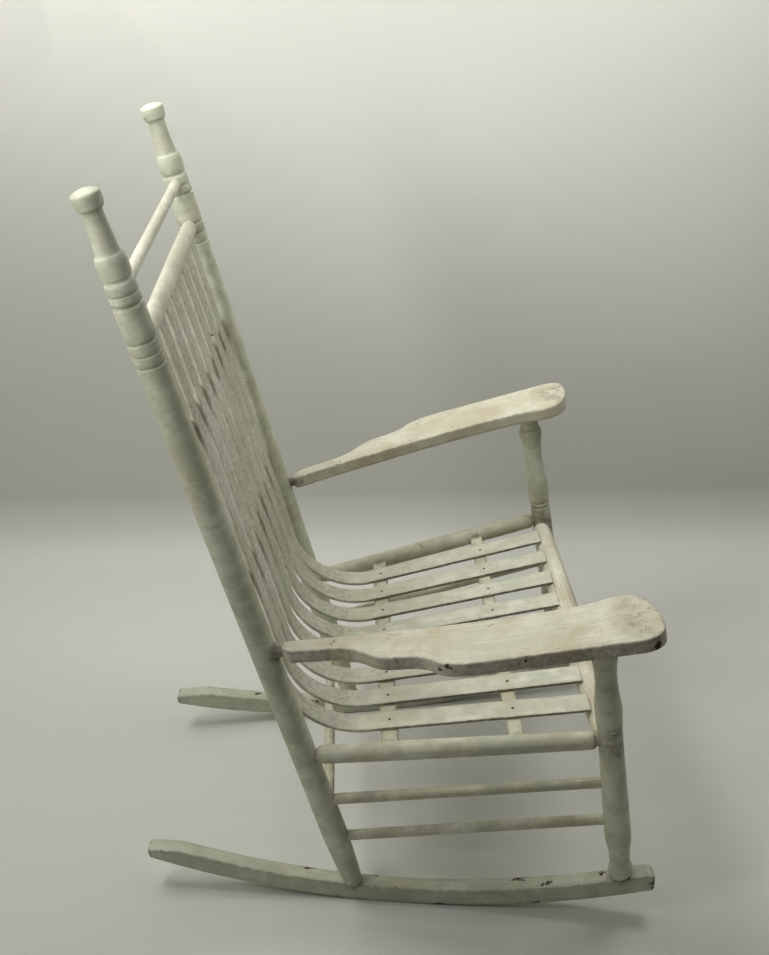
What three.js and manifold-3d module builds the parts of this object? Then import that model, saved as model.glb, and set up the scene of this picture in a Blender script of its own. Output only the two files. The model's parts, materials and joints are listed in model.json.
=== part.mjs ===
// A slat-backed rocking chair at full size, in millimetres.
// +X is the way the sitter faces, +Y is the sitter's left and +Z is up.
// The origin is on the floor, halfway along the rockers, on the chair's middle plane.
import * as THREE from 'three';
import { mergeVertices } from 'three/addons/utils/BufferGeometryUtils.js';
import Module from 'manifold-3d';

const wasm = await Module();
wasm.setup();

// ---- Fits ----
const GAP = 0.3; // clearance all round between two pieces that touch
const TENON_DEPTH = 9; // how far a rail, rung or batten enters a post or rail
const FOOT_TENON_DEPTH = 13; // how far a post enters its rocker
const ARM_TENON_DEPTH = 11; // how far a front post enters its arm

// ---- Rockers ----
const ROCKER_LENGTH = 720;
const ROCKER_RADIUS = 1131; // of the underside
const ROCKER_DEPTH = 28.7; // section height
const ROCKER_WIDTH = 24;
const ROCKER_CONTACT_X = 2; // lowest point of the arcs, the middle of the worn flats
const ROCKER_FLAT = 44; // the short worn flat that the chair stands on at rest
const ROCKER_HALF_GAP = 216.4; // middle plane to the rocker's centre line, at the origin
const ROCKER_TOE_OUT = 0.119; // sideways shift per millimetre forwards
const ROCKER_TAIL_HEIGHT = 14; // what the flat cut leaves at the rear tip
const ROCKER_EDGE = 2; // worn edge
const ROCKER_NOSE_CUT = 12; // length of the slope down to the front tip
const ROCKER_NOSE_DROP = 6;

// ---- Rear posts ----
const REAR_FOOT_X = -63;
const REAR_FOOT_HALF_GAP = 212;
const REAR_POST_LENGTH = 1036; // foot to the rim of the button
const REAR_POST_LEAN = 14.5; // degrees back from upright
const REAR_POST_SPLAY = 1.37; // degrees out from upright
const REAR_POST_RADIUS = 18;
const BUTTON_RIM_RADIUS = 16.3;
const BUTTON_DOME = 12;

// ---- Front posts ----
const FRONT_FOOT_X = 315;
const FRONT_FOOT_HALF_GAP = 254;
const FRONT_POST_LEAN = 9.6;
const FRONT_POST_SPLAY = 6.2;
const FRONT_POST_RADIUS = 18;
const FRONT_POST_WAIST = 13.9;
const FRONT_COLLAR_RADIUS = 18.7;
const POST_TENON_RADIUS = 7;

// ---- Rungs between the posts; heights are at the post axes ----
const RUNG_RADIUS = 7.5;
const UPPER_RUNG_REAR_Z = 191;
const UPPER_RUNG_FRONT_Z = 266;
const LOWER_RUNG_REAR_Z = 121;
const LOWER_RUNG_FRONT_Z = 193;
const REAR_RUNG_Z = 157;

// ---- Seat ----
const SIDE_RAIL_REAR_Z = 273;
const SIDE_RAIL_FRONT_Z = 345.4;
const SIDE_RAIL_RADIUS = 13;
const SIDE_RAIL_END_RADIUS = 12;
const RAIL_TENON_RADIUS = 8;
const FRONT_RAIL_Z = 335;
const FRONT_RAIL_SET_BACK = 5; // the front rail's axis behind the post axes
const FRONT_RAIL_RADIUS = 19; // at the middle of the barrel
const FRONT_RAIL_END_RADIUS = 13.5;
const SEAT_RISE = 8.5; // seat surface above the plane of the side rails' axes
const SEAT_FRONT_X = 254; // where the slats stop in the front rail's rabbet
const REAR_BATTEN_X = -10;
const REAR_BATTEN_WIDTH = 23;
const MID_BATTEN_X = 155;
const MID_BATTEN_WIDTH = 20;
const SEAT_BATTEN_DEPTH = 16;
const BATTEN_TENON_HEIGHT = 9;

// ---- Slats, each one bent strip from the front rail to the upper back rail ----
const SLAT_COUNT = 8;
const SLAT_WIDTH = 34;
const SLAT_THICKNESS = 4.5;
const SLAT_PITCH = 51.6; // on the back and round the bend
const SLAT_FAN = 0.0331; // extra pitch per millimetre forwards of the bend
const SLAT_BEND_RADIUS = 102; // to the seat surface
const NAIL_SHANK_RADIUS = 1;
const NAIL_HEAD_RADIUS = 2.2;
const NAIL_HEAD_HEIGHT = 0.9;
const NAIL_LENGTH = 15;
const NAIL_HOLE_RADIUS = NAIL_SHANK_RADIUS + GAP;

// ---- Back; distances are along the rear posts from the foot ----
const UPPER_RAIL_AT = 873;
const UPPER_RAIL_RADIUS = 11.5;
const CREST_AT = 935;
const CREST_RADIUS = 7.3;
const UPPER_BATTEN_AT = 720;
const LOWER_BATTEN_AT = 497;
const BACK_BATTEN_HEIGHT = 28;
const BACK_BATTEN_THICKNESS = 8;
const BACK_RISE = 3; // slats' front surface ahead of the plane of the post axes

// ---- Arms ----
const ARM_REAR_Z = 448.5; // where the arm's middle layer meets the rear post axis
const ARM_SLOPE = 12.85; // degrees up towards the front
const ARM_THICKNESS = 19.5;
const ARM_EDGE = 3; // rounding of the arm's edges
const ARM_LENGTH = 485; // from the rear post axis
const ARM_TENON_RADIUS = 7;
const ARM_TENON_HALF_GAP = 227.5;

// ---- Finish of each kind of piece ----
const IVORY = { color: 0xd9d5c3, roughness: 0.55, metalness: 0 };
const CREAM = { color: 0xd8ccb4, roughness: 0.6, metalness: 0 };
const STEEL = { color: 0x5b5348, roughness: 0.5, metalness: 0.8 };

const rad = THREE.MathUtils.degToRad;
const vec = (x, y, z) => new THREE.Vector3(x, y, z);

// ---- Solids ----

// A closed three.js geometry as a solid, moved by an optional matrix.
function solid(geometry, matrix) {
  const bare = geometry.clone();
  bare.deleteAttribute('normal');
  bare.deleteAttribute('uv');
  if (matrix) {
    bare.applyMatrix4(matrix);
  }
  const merged = mergeVertices(bare, 1e-4);
  const index = merged.index.array;
  const triangles = [];
  for (let i = 0; i < index.length; i += 3) {
    const [a, b, c] = [index[i], index[i + 1], index[i + 2]];
    if (a !== b && b !== c && c !== a) {
      triangles.push(a, b, c);
    }
  }
  return new wasm.Manifold(new wasm.Mesh({
    numProp: 3,
    vertProperties: new Float32Array(merged.attributes.position.array),
    triVerts: new Uint32Array(triangles),
  }));
}

// A matrix that stands local +Z along a direction, with local +X in the chair's XZ plane.
function standing(at, direction) {
  const z = direction.clone().normalize();
  const y = vec(0, 1, 0).addScaledVector(z, -z.y);
  if (y.length() < 0.1) {
    y.copy(vec(0, 0, 1).addScaledVector(z, -z.z));
  }
  y.normalize();
  const x = y.clone().cross(z);
  return new THREE.Matrix4().makeBasis(x, y, z).setPosition(at);
}

// A turned piece: the path gives radius against height, from axis to axis.
function turned(path, sides, matrix) {
  const lathe = new THREE.LatheGeometry(path.getPoints(3), sides);
  lathe.rotateX(Math.PI / 2);
  return solid(lathe, matrix);
}

// A round bar between two points.
function bar(from, to, radius, sides = 16) {
  const along = to.clone().sub(from);
  const cylinder = new THREE.CylinderGeometry(radius, radius, along.length(), sides);
  cylinder.rotateX(Math.PI / 2);
  return solid(cylinder, standing(from.clone().add(to).multiplyScalar(0.5), along));
}

// A box with its middle at a point, turned by the axes of a matrix.
function block(size, matrix) {
  return solid(new THREE.BoxGeometry(size.x, size.y, size.z), matrix);
}

function unite(solids) {
  return solids.reduce((whole, next) => whole.add(next));
}

function cut(body, solids) {
  return solids.reduce((rest, next) => rest.subtract(next), body);
}

// A finished piece: the solid keeps its own local frame and the mesh carries the placement.
function piece(name, body, placement, finish) {
  const mesh = body.getMesh();
  const corners = [];
  for (let i = 0; i < mesh.vertProperties.length; i += mesh.numProp) {
    corners.push(...mesh.vertProperties.slice(i, i + 3));
  }
  const geometry = new THREE.BufferGeometry();
  geometry.setAttribute('position', new THREE.Float32BufferAttribute(corners, 3));
  geometry.setIndex([...mesh.triVerts]);
  geometry.applyMatrix4(placement.clone().invert());
  geometry.computeVertexNormals();
  const result = new THREE.Mesh(geometry, new THREE.MeshStandardMaterial(finish));
  result.name = name;
  placement.decompose(result.position, result.quaternion, result.scale);
  return result;
}

// ---- The lines the chair is set out on ----

// The rockers' arcs share one centre, set so that the worn flats lie on the floor.
const ROCKER_CENTRE = vec(ROCKER_CONTACT_X, 0, Math.sqrt(ROCKER_RADIUS ** 2 - ROCKER_FLAT ** 2 / 4));
const ROCKER_TOP_RADIUS = ROCKER_RADIUS - ROCKER_DEPTH;

function rockerArcZ(x, radius) {
  return ROCKER_CENTRE.z - Math.sqrt(radius ** 2 - (x - ROCKER_CENTRE.x) ** 2);
}

function rockerTop(x) {
  return rockerArcZ(x, ROCKER_TOP_RADIUS);
}

// A post axis: side is +1 for the sitter's left and -1 for the right.
function postAxis(side, footX, halfGap, lean, splay) {
  const foot = vec(footX, side * halfGap, rockerTop(footX));
  const way = vec(-Math.tan(rad(lean)), side * Math.tan(rad(splay)), 1).normalize();
  return {
    side,
    foot,
    way,
    along: (distance) => foot.clone().addScaledVector(way, distance),
    atHeight: (z) => foot.clone().addScaledVector(way, (z - foot.z) / way.z),
  };
}

function rearPostAxis(side) {
  return postAxis(side, REAR_FOOT_X, REAR_FOOT_HALF_GAP, REAR_POST_LEAN, REAR_POST_SPLAY);
}

function frontPostAxis(side) {
  return postAxis(side, FRONT_FOOT_X, FRONT_FOOT_HALF_GAP, FRONT_POST_LEAN, FRONT_POST_SPLAY);
}

// A member between two posts: where its ends stop and how long it is.
function member(from, to, postRadiusFrom = REAR_POST_RADIUS, postRadiusTo = postRadiusFrom) {
  const way = to.clone().sub(from).normalize();
  const start = from.clone().addScaledVector(way, postRadiusFrom - TENON_DEPTH);
  const end = to.clone().addScaledVector(way, TENON_DEPTH - postRadiusTo);
  return { start, end, way, length: end.distanceTo(start) };
}

// The holes a round member needs at its two ends, each with clearance at the bottom.
function socketAtStart(line, radius, reach = TENON_DEPTH + 12) {
  const bottom = line.start.clone().addScaledVector(line.way, -GAP);
  return bar(bottom, line.start.clone().addScaledVector(line.way, reach), radius + GAP);
}

function socketAtEnd(line, radius, reach = TENON_DEPTH + 12) {
  const bottom = line.end.clone().addScaledVector(line.way, GAP);
  return bar(line.end.clone().addScaledVector(line.way, -reach), bottom, radius + GAP);
}

const SIDES = { left: 1, right: -1 };

function sideRailLine(side) {
  return member(
    rearPostAxis(side).atHeight(SIDE_RAIL_REAR_Z),
    frontPostAxis(side).atHeight(SIDE_RAIL_FRONT_Z),
  );
}

function upperRungLine(side) {
  return member(
    rearPostAxis(side).atHeight(UPPER_RUNG_REAR_Z),
    frontPostAxis(side).atHeight(UPPER_RUNG_FRONT_Z),
  );
}

function lowerRungLine(side) {
  return member(
    rearPostAxis(side).atHeight(LOWER_RUNG_REAR_Z),
    frontPostAxis(side).atHeight(LOWER_RUNG_FRONT_Z),
  );
}

function rearRungLine() {
  return member(rearPostAxis(-1).atHeight(REAR_RUNG_Z), rearPostAxis(1).atHeight(REAR_RUNG_Z));
}

// The front rail's tenons stop short of the side rails' tenons, which cross them in the posts.
function frontRailLine() {
  const back = vec(-FRONT_RAIL_SET_BACK, 0, 0);
  const clear = RAIL_TENON_RADIUS + 3 * GAP + TENON_DEPTH;
  return member(
    frontPostAxis(-1).atHeight(FRONT_RAIL_Z).add(back),
    frontPostAxis(1).atHeight(FRONT_RAIL_Z).add(back),
    clear,
  );
}

function upperRailLine() {
  return member(rearPostAxis(-1).along(UPPER_RAIL_AT), rearPostAxis(1).along(UPPER_RAIL_AT));
}

function crestLine() {
  return member(rearPostAxis(-1).along(CREST_AT), rearPostAxis(1).along(CREST_AT));
}

// The back plane holds both rear post axes and the seat plane holds both side rail axes.
const BACK_UP = vec(-Math.sin(rad(REAR_POST_LEAN)), 0, Math.cos(rad(REAR_POST_LEAN)));
const BACK_FRONT = vec(BACK_UP.z, 0, -BACK_UP.x);
const SEAT_RUN = (() => {
  const rail = sideRailLine(1);
  return vec(rail.way.x, 0, rail.way.z).normalize();
})();
const SEAT_UP = vec(-SEAT_RUN.z, 0, SEAT_RUN.x);

function onMiddle(point) {
  return vec(point.x, 0, point.z);
}

// A point on the middle plane, under or over the seat surface by a rise, at a given X.
function onSeat(x, rise = 0) {
  const base = onMiddle(rearPostAxis(1).atHeight(SIDE_RAIL_REAR_Z));
  base.addScaledVector(SEAT_UP, SEAT_RISE + rise);
  return base.addScaledVector(SEAT_RUN, (x - base.x) / SEAT_RUN.x);
}

function onBack(distance, rise = 0) {
  return onMiddle(rearPostAxis(1).along(distance)).addScaledVector(BACK_FRONT, BACK_RISE + rise);
}

// ---- Rockers ----

function rockerOutline() {
  const tail = -ROCKER_LENGTH / 2;
  const nose = ROCKER_LENGTH / 2;
  const { x, z } = ROCKER_CENTRE;
  const angleAt = (at, radius) => Math.asin((at - x) / radius) - Math.PI / 2;
  const tailTop = rockerArcZ(tail, ROCKER_RADIUS) + ROCKER_TAIL_HEIGHT;
  const flatEnd = x - Math.sqrt(ROCKER_TOP_RADIUS ** 2 - (z - tailTop) ** 2);
  const shape = new THREE.Shape();
  shape.absarc(x, z, ROCKER_RADIUS,
    angleAt(tail, ROCKER_RADIUS), angleAt(x - ROCKER_FLAT / 2, ROCKER_RADIUS), false);
  shape.absarc(x, z, ROCKER_RADIUS,
    angleAt(x + ROCKER_FLAT / 2, ROCKER_RADIUS), angleAt(nose, ROCKER_RADIUS), false);
  shape.lineTo(nose, rockerTop(nose) - ROCKER_NOSE_DROP);
  shape.absarc(x, z, ROCKER_TOP_RADIUS,
    angleAt(nose - ROCKER_NOSE_CUT, ROCKER_TOP_RADIUS), angleAt(flatEnd, ROCKER_TOP_RADIUS), true);
  shape.lineTo(tail, tailTop);
  return shape;
}

// Slides every point sideways in proportion to its X, to follow the toed-out line.
function shearSideways(geometry, offset, slope, fromX = -Infinity) {
  const place = geometry.attributes.position;
  for (let i = 0; i < place.count; i += 1) {
    const run = Math.max(place.getX(i), fromX);
    const zero = Number.isFinite(fromX) ? fromX : 0;
    place.setY(i, place.getY(i) + offset + slope * (run - zero));
  }
  return geometry;
}

// A flat outline in X and Z given a thickness along Y, centred on the middle plane.
function extrudeAlongY(shape, width, edge, steps) {
  const geometry = new THREE.ExtrudeGeometry(shape, {
    depth: width - 2 * edge,
    curveSegments: steps,
    bevelEnabled: edge > 0,
    bevelThickness: edge,
    bevelSize: edge,
    bevelOffset: -edge,
    bevelSegments: 1,
  });
  geometry.rotateX(Math.PI / 2);
  geometry.translate(0, width / 2 - edge, 0);
  return geometry;
}

function footTenon(axis) {
  const bottom = axis.along(-FOOT_TENON_DEPTH);
  return bar(bottom, axis.along(20), POST_TENON_RADIUS);
}

function footSocket(axis) {
  const bottom = axis.along(-FOOT_TENON_DEPTH - GAP);
  return bar(bottom, axis.along(20), POST_TENON_RADIUS + GAP);
}

function rocker(name, side) {
  const body = extrudeAlongY(rockerOutline(), ROCKER_WIDTH, ROCKER_EDGE, 12);
  shearSideways(body, side * ROCKER_HALF_GAP, side * ROCKER_TOE_OUT);
  const holes = [footSocket(rearPostAxis(side)), footSocket(frontPostAxis(side))];
  const placement = new THREE.Matrix4().makeTranslation(0, side * ROCKER_HALF_GAP, 0);
  return piece(name, cut(solid(body), holes), placement, IVORY);
}

// Everything above the rockers' top surfaces, less the clearance.
function aboveRockers() {
  const radius = ROCKER_TOP_RADIUS - GAP;
  const drum = new THREE.CylinderGeometry(radius, radius, 4 * ROCKER_HALF_GAP, 720);
  return solid(drum, new THREE.Matrix4().makeTranslation(ROCKER_CENTRE.x, 0, ROCKER_CENTRE.z));
}

// ---- Posts ----

// A cut ring in a turned path: down to the given depth and back over a short width.
function groove(path, radius, at, depth, width) {
  path.lineTo(radius, at - width / 2);
  path.lineTo(radius - depth, at);
  path.lineTo(radius, at + width / 2);
}

function rearPostPath() {
  const r = REAR_POST_RADIUS;
  const rim = REAR_POST_LENGTH;
  const path = new THREE.Path();
  path.moveTo(0, -12);
  path.lineTo(0.72 * r, -12);
  path.lineTo(0.72 * r, 0);
  path.quadraticCurveTo(0.84 * r, 12, 0.87 * r, 45);
  path.lineTo(r, 95);
  path.lineTo(0.97 * r, rim - 236);
  groove(path, 0.98 * r, rim - 190, 1.6, 5);
  groove(path, 0.99 * r, rim - 176, 1.6, 5);
  groove(path, r, rim - 161, 1.8, 5);
  groove(path, r, rim - 118, 2.8, 6);
  path.lineTo(0.97 * r, rim - 108);
  path.quadraticCurveTo(1.03 * r, rim - 98, 0.98 * r, rim - 90);
  path.lineTo(0.86 * r, rim - 87);
  path.quadraticCurveTo(1.06 * r, rim - 80, 1.01 * r, rim - 70);
  path.quadraticCurveTo(0.96 * r, rim - 62, 0.84 * r, rim - 59);
  path.quadraticCurveTo(0.74 * r, rim - 40, 0.69 * r, rim - 20);
  path.quadraticCurveTo(0.68 * r, rim - 8, BUTTON_RIM_RADIUS, rim);
  path.quadraticCurveTo(BUTTON_RIM_RADIUS - 1, rim + BUTTON_DOME - 1, 0, rim + BUTTON_DOME);
  return path;
}

// The holes in a rear post for everything that enters it.
function rearPostSockets(side) {
  const across = side > 0 ? socketAtEnd : socketAtStart;
  return [
    socketAtStart(sideRailLine(side), RAIL_TENON_RADIUS),
    socketAtStart(upperRungLine(side), RUNG_RADIUS),
    socketAtStart(lowerRungLine(side), RUNG_RADIUS),
    across(rearRungLine(), RUNG_RADIUS),
    across(upperRailLine(), RAIL_TENON_RADIUS),
    across(crestLine(), CREST_RADIUS),
    backBattenBody(UPPER_BATTEN_AT, GAP),
    backBattenBody(LOWER_BATTEN_AT, GAP),
    armTenon(side, GAP),
  ];
}

function rearPost(name, side) {
  const axis = rearPostAxis(side);
  const placement = standing(axis.foot, axis.way);
  const shaft = turned(rearPostPath(), 14, placement).intersect(aboveRockers());
  const body = cut(shaft.add(footTenon(axis)), rearPostSockets(side));
  return piece(name, body, placement, IVORY);
}

// The front post runs up to the arm's underside, so its length follows from the arm.
function frontPostLength(side) {
  const axis = frontPostAxis(side);
  const plane = armPoint(0, 0, -ARM_THICKNESS / 2);
  const normal = armUp();
  return plane.sub(axis.foot).dot(normal) / axis.way.dot(normal);
}

function frontPostPath(length) {
  const r = FRONT_POST_RADIUS;
  const path = new THREE.Path();
  path.moveTo(0, -12);
  path.lineTo(0.68 * r, -12);
  path.lineTo(0.68 * r, 0);
  path.quadraticCurveTo(1.05 * r, 9, 0.9 * r, 20);
  path.quadraticCurveTo(0.75 * r, 28, 0.78 * r, 42);
  path.quadraticCurveTo(0.85 * r, 66, r, 80);
  path.lineTo(0.97 * r, 150);
  path.lineTo(0.89 * r, length - 190);
  groove(path, 0.9 * r, length - 166, 1.6, 5);
  groove(path, 0.92 * r, length - 158, 1.8, 5);
  path.quadraticCurveTo(1.06 * r, length - 134, 0.93 * r, length - 118);
  path.quadraticCurveTo(0.82 * r, length - 100, FRONT_POST_WAIST, length - 84);
  path.quadraticCurveTo(FRONT_POST_WAIST, length - 50, FRONT_COLLAR_RADIUS, length - 30);
  path.lineTo(FRONT_COLLAR_RADIUS, length + 12);
  path.lineTo(0, length + 12);
  return path;
}

// The slab that lies below the arms' underside, less the clearance.
function belowArms() {
  const tall = 700;
  const middle = armPoint(ARM_LENGTH / 2, 0, -ARM_THICKNESS / 2 - GAP - tall / 2);
  const size = vec(3 * ARM_LENGTH, 6 * ROCKER_HALF_GAP, tall);
  return block(size, standing(middle, armUp()));
}

function armPostTenon(side, spare) {
  const axis = frontPostAxis(side);
  const top = frontPostLength(side);
  return bar(axis.along(top - 20), axis.along(top + ARM_TENON_DEPTH + spare), POST_TENON_RADIUS + spare);
}

function frontPostSockets(side) {
  const across = side > 0 ? socketAtEnd : socketAtStart;
  return [
    socketAtEnd(sideRailLine(side), RAIL_TENON_RADIUS),
    socketAtEnd(upperRungLine(side), RUNG_RADIUS),
    socketAtEnd(lowerRungLine(side), RUNG_RADIUS),
    across(frontRailLine(), RAIL_TENON_RADIUS),
  ];
}

function frontPost(name, side) {
  const axis = frontPostAxis(side);
  const placement = standing(axis.foot, axis.way);
  const path = frontPostPath(frontPostLength(side));
  const shaft = turned(path, 14, placement).intersect(aboveRockers()).intersect(belowArms());
  const whole = unite([shaft, footTenon(axis), armPostTenon(side, 0)]);
  return piece(name, cut(whole, frontPostSockets(side)), placement, IVORY);
}

// ---- Rungs and rails ----

function rung(name, line, radius) {
  const placement = standing(line.start, line.way);
  return piece(name, bar(line.start, line.end, radius), placement, IVORY);
}

// A rail with a round tenon, a rounded shoulder and a swelling towards the middle.
function railPath(length, tenonRadius, endRadius, middleRadius) {
  const shoulder = TENON_DEPTH + 0.5;
  const round = 8;
  const path = new THREE.Path();
  path.moveTo(0, 0);
  path.lineTo(tenonRadius, 0);
  path.lineTo(tenonRadius, shoulder);
  path.quadraticCurveTo(endRadius, shoulder, endRadius, shoulder + round);
  path.quadraticCurveTo(2 * middleRadius - endRadius, length / 2, endRadius, length - shoulder - round);
  path.quadraticCurveTo(endRadius, length - shoulder, tenonRadius, length - shoulder);
  path.lineTo(tenonRadius, length);
  path.lineTo(0, length);
  return path;
}

function sideRail(name, side) {
  const line = sideRailLine(side);
  const placement = standing(line.start, line.way);
  const path = railPath(line.length, RAIL_TENON_RADIUS, SIDE_RAIL_END_RADIUS, SIDE_RAIL_RADIUS);
  const holes = [
    seatBattenTenon(REAR_BATTEN_X, REAR_BATTEN_WIDTH, GAP),
    seatBattenTenon(MID_BATTEN_X, MID_BATTEN_WIDTH, GAP),
  ];
  return piece(name, cut(turned(path, 18, placement), holes), placement, IVORY);
}

// The front rail is a barrel with a rabbet along its top that takes the slats' front ends.
function frontRail(name) {
  const line = frontRailLine();
  const placement = standing(line.start, line.way);
  const path = railPath(
    line.length, RAIL_TENON_RADIUS, FRONT_RAIL_END_RADIUS, FRONT_RAIL_RADIUS,
  );
  const run = 60;
  const tall = 40;
  const middle = onSeat(SEAT_FRONT_X, tall / 2 - SLAT_THICKNESS - GAP)
    .addScaledVector(SEAT_RUN, GAP - run / 2);
  const rabbet = block(vec(run, line.length - 4 * TENON_DEPTH, tall), standing(middle, SEAT_UP));
  return piece(name, turned(path, 20, placement).subtract(rabbet), placement, IVORY);
}

function upperRail(name) {
  const line = upperRailLine();
  const placement = standing(line.start, line.way);
  const path = railPath(
    line.length, RAIL_TENON_RADIUS, UPPER_RAIL_RADIUS - 1, UPPER_RAIL_RADIUS,
  );
  const slots = slatOffsets().map((offset) => slatSlot(offset));
  return piece(name, cut(turned(path, 18, placement), slots), placement, IVORY);
}

// ---- Slats and nails ----

// How many pitches each slat lies from the middle plane, from the right to the left.
function slatOffsets() {
  return Array.from({ length: SLAT_COUNT }, (_, i) => i - (SLAT_COUNT - 1) / 2);
}

const SLAT_TOP_AT = UPPER_RAIL_AT + 1; // the slats' upper ends, inside the upper back rail

// The strip's centre of bend: the same distance from the seat surface and the back surface.
function bendCentre() {
  const seat = onSeat(0);
  const back = onBack(0);
  const lift = vec(0, 0, 0);
  // Solve for the point at the bend radius above both surfaces.
  const a = SEAT_UP;
  const b = BACK_FRONT;
  const da = a.dot(seat) + SLAT_BEND_RADIUS;
  const db = b.dot(back) + SLAT_BEND_RADIUS;
  const det = a.x * b.z - a.z * b.x;
  lift.x = (da * b.z - db * a.z) / det;
  lift.z = (a.x * db - b.x * da) / det;
  return lift;
}

function slatOutline() {
  const centre = bendCentre();
  const outer = SLAT_BEND_RADIUS + SLAT_THICKNESS;
  const seatAngle = Math.atan2(-SEAT_UP.z, -SEAT_UP.x);
  const backAngle = Math.atan2(-BACK_FRONT.z, -BACK_FRONT.x) - 2 * Math.PI;
  const far = (Math.abs(backAngle - seatAngle) > Math.PI) ? backAngle + 2 * Math.PI : backAngle;
  const front = onSeat(SEAT_FRONT_X);
  const frontUnder = onSeat(SEAT_FRONT_X, -SLAT_THICKNESS);
  const top = onBack(SLAT_TOP_AT);
  const topBehind = onBack(SLAT_TOP_AT, -SLAT_THICKNESS);
  const shape = new THREE.Shape();
  shape.moveTo(front.x, front.z);
  shape.absarc(centre.x, centre.z, SLAT_BEND_RADIUS, seatAngle, far, true);
  shape.lineTo(top.x, top.z);
  shape.lineTo(topBehind.x, topBehind.z);
  shape.absarc(centre.x, centre.z, outer, far, seatAngle, false);
  shape.lineTo(frontUnder.x, frontUnder.z);
  return shape;
}

// Forwards of the bend the slats fan out, each by its own share.
function fanStart() {
  return bendCentre().addScaledVector(SEAT_UP, -SLAT_BEND_RADIUS).x;
}

function slatY(offset, x) {
  return offset * (SLAT_PITCH + SLAT_FAN * Math.max(0, x - fanStart()));
}

function slat(name, offset) {
  const strip = extrudeAlongY(slatOutline(), SLAT_WIDTH, 0, 10);
  shearSideways(strip, offset * SLAT_PITCH, offset * SLAT_FAN, fanStart());
  const holes = nailSpots(offset).map((spot) => nailHole(spot));
  const placement = new THREE.Matrix4().makeTranslation(0, offset * SLAT_PITCH, 0);
  return piece(name, cut(solid(strip), holes), placement, CREAM);
}

// The slot in the upper back rail for one slat's end.
function slatSlot(offset) {
  const drop = 40;
  const middle = onBack(SLAT_TOP_AT + GAP - drop / 2, -SLAT_THICKNESS / 2);
  middle.y = offset * SLAT_PITCH;
  const size = vec(SLAT_THICKNESS + 2 * GAP, SLAT_WIDTH + 2 * GAP, drop);
  return block(size, standing(middle, BACK_UP));
}

// One nail through each slat over each seat batten.
function nailSpots(offset) {
  return [REAR_BATTEN_X, MID_BATTEN_X].map((x) => {
    const spot = onSeat(x);
    spot.y = slatY(offset, x);
    return spot;
  });
}

function nailHole(spot) {
  const from = spot.clone().addScaledVector(SEAT_UP, -NAIL_LENGTH - GAP);
  return bar(from, spot.clone().addScaledVector(SEAT_UP, 3), NAIL_HOLE_RADIUS, 6);
}

function nail(name, spot) {
  const path = new THREE.Path();
  path.moveTo(0, -NAIL_LENGTH);
  path.lineTo(NAIL_SHANK_RADIUS, 2 - NAIL_LENGTH);
  path.lineTo(NAIL_SHANK_RADIUS, GAP);
  path.lineTo(NAIL_HEAD_RADIUS, GAP);
  path.lineTo(0.8 * NAIL_HEAD_RADIUS, GAP + NAIL_HEAD_HEIGHT);
  path.lineTo(0, GAP + NAIL_HEAD_HEIGHT);
  const placement = standing(spot, SEAT_UP);
  return piece(name, turned(path, 6, placement), placement, STEEL);
}

// ---- Battens ----

// The line of a seat batten: under the slats and between the side rail axes.
function seatBattenEnds(x) {
  const middle = onSeat(x, -SLAT_THICKNESS - GAP - SEAT_BATTEN_DEPTH / 2);
  const rail = sideRailLine(1);
  const run = (x - rail.start.x) / rail.way.x;
  return { middle, halfGap: rail.start.y + rail.way.y * run };
}

// The batten's narrower end that enters the side rails; spare widens it for the holes.
function seatBattenTenon(x, width, spare) {
  const { middle, halfGap } = seatBattenEnds(x);
  const reach = halfGap - SIDE_RAIL_RADIUS + TENON_DEPTH - 2 + spare;
  const size = vec(width - 8 + 2 * spare, 2 * reach, BATTEN_TENON_HEIGHT + 2 * spare);
  return block(size, standing(middle, SEAT_UP));
}

function seatBatten(name, x, width) {
  const { middle, halfGap } = seatBattenEnds(x);
  const placement = standing(middle, SEAT_UP);
  const body = block(vec(width, 2 * halfGap, SEAT_BATTEN_DEPTH), placement);
  const rails = Object.values(SIDES).map((side) => {
    const rail = sideRailLine(side);
    return bar(rail.start, rail.end, SIDE_RAIL_RADIUS + GAP, 40);
  });
  const outside = Object.values(SIDES).map((side) => {
    const box = block(vec(4 * width, 60, 60), placement.clone());
    return box.translate([0, side * (halfGap + 28), 0]);
  });
  const holes = slatOffsets().map((offset) => {
    const spot = onSeat(x);
    spot.y = slatY(offset, x);
    return nailHole(spot);
  });
  const shaped = cut(body, [...rails, ...outside]).add(seatBattenTenon(x, width, 0));
  return piece(name, cut(shaped, holes), placement, IVORY);
}

// A back batten lies behind the slats and enters both rear posts; spare widens it for the holes.
function backBattenBody(at, spare) {
  const axis = rearPostAxis(1).along(at);
  const rise = -SLAT_THICKNESS - GAP - BACK_BATTEN_THICKNESS / 2;
  const middle = onBack(at, rise);
  const reach = axis.y - REAR_POST_RADIUS + TENON_DEPTH + spare;
  const size = vec(BACK_BATTEN_THICKNESS + 2 * spare, 2 * reach, BACK_BATTEN_HEIGHT + 2 * spare);
  return block(size, standing(middle, BACK_UP));
}

function backBatten(name, at) {
  const placement = standing(onBack(at), BACK_UP);
  return piece(name, backBattenBody(at, 0), placement, IVORY);
}

// ---- Arms ----

function armRun() {
  return vec(Math.cos(rad(ARM_SLOPE)), 0, Math.sin(rad(ARM_SLOPE)));
}

function armUp() {
  const run = armRun();
  return vec(-run.z, 0, run.x);
}

// A point in the arm's own terms: run forwards, distance from the middle plane, rise.
function armPoint(run, out, rise) {
  const base = onMiddle(rearPostAxis(1).atHeight(ARM_REAR_Z));
  base.addScaledVector(armRun(), run).addScaledVector(armUp(), rise);
  base.y = out;
  return base;
}

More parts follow.
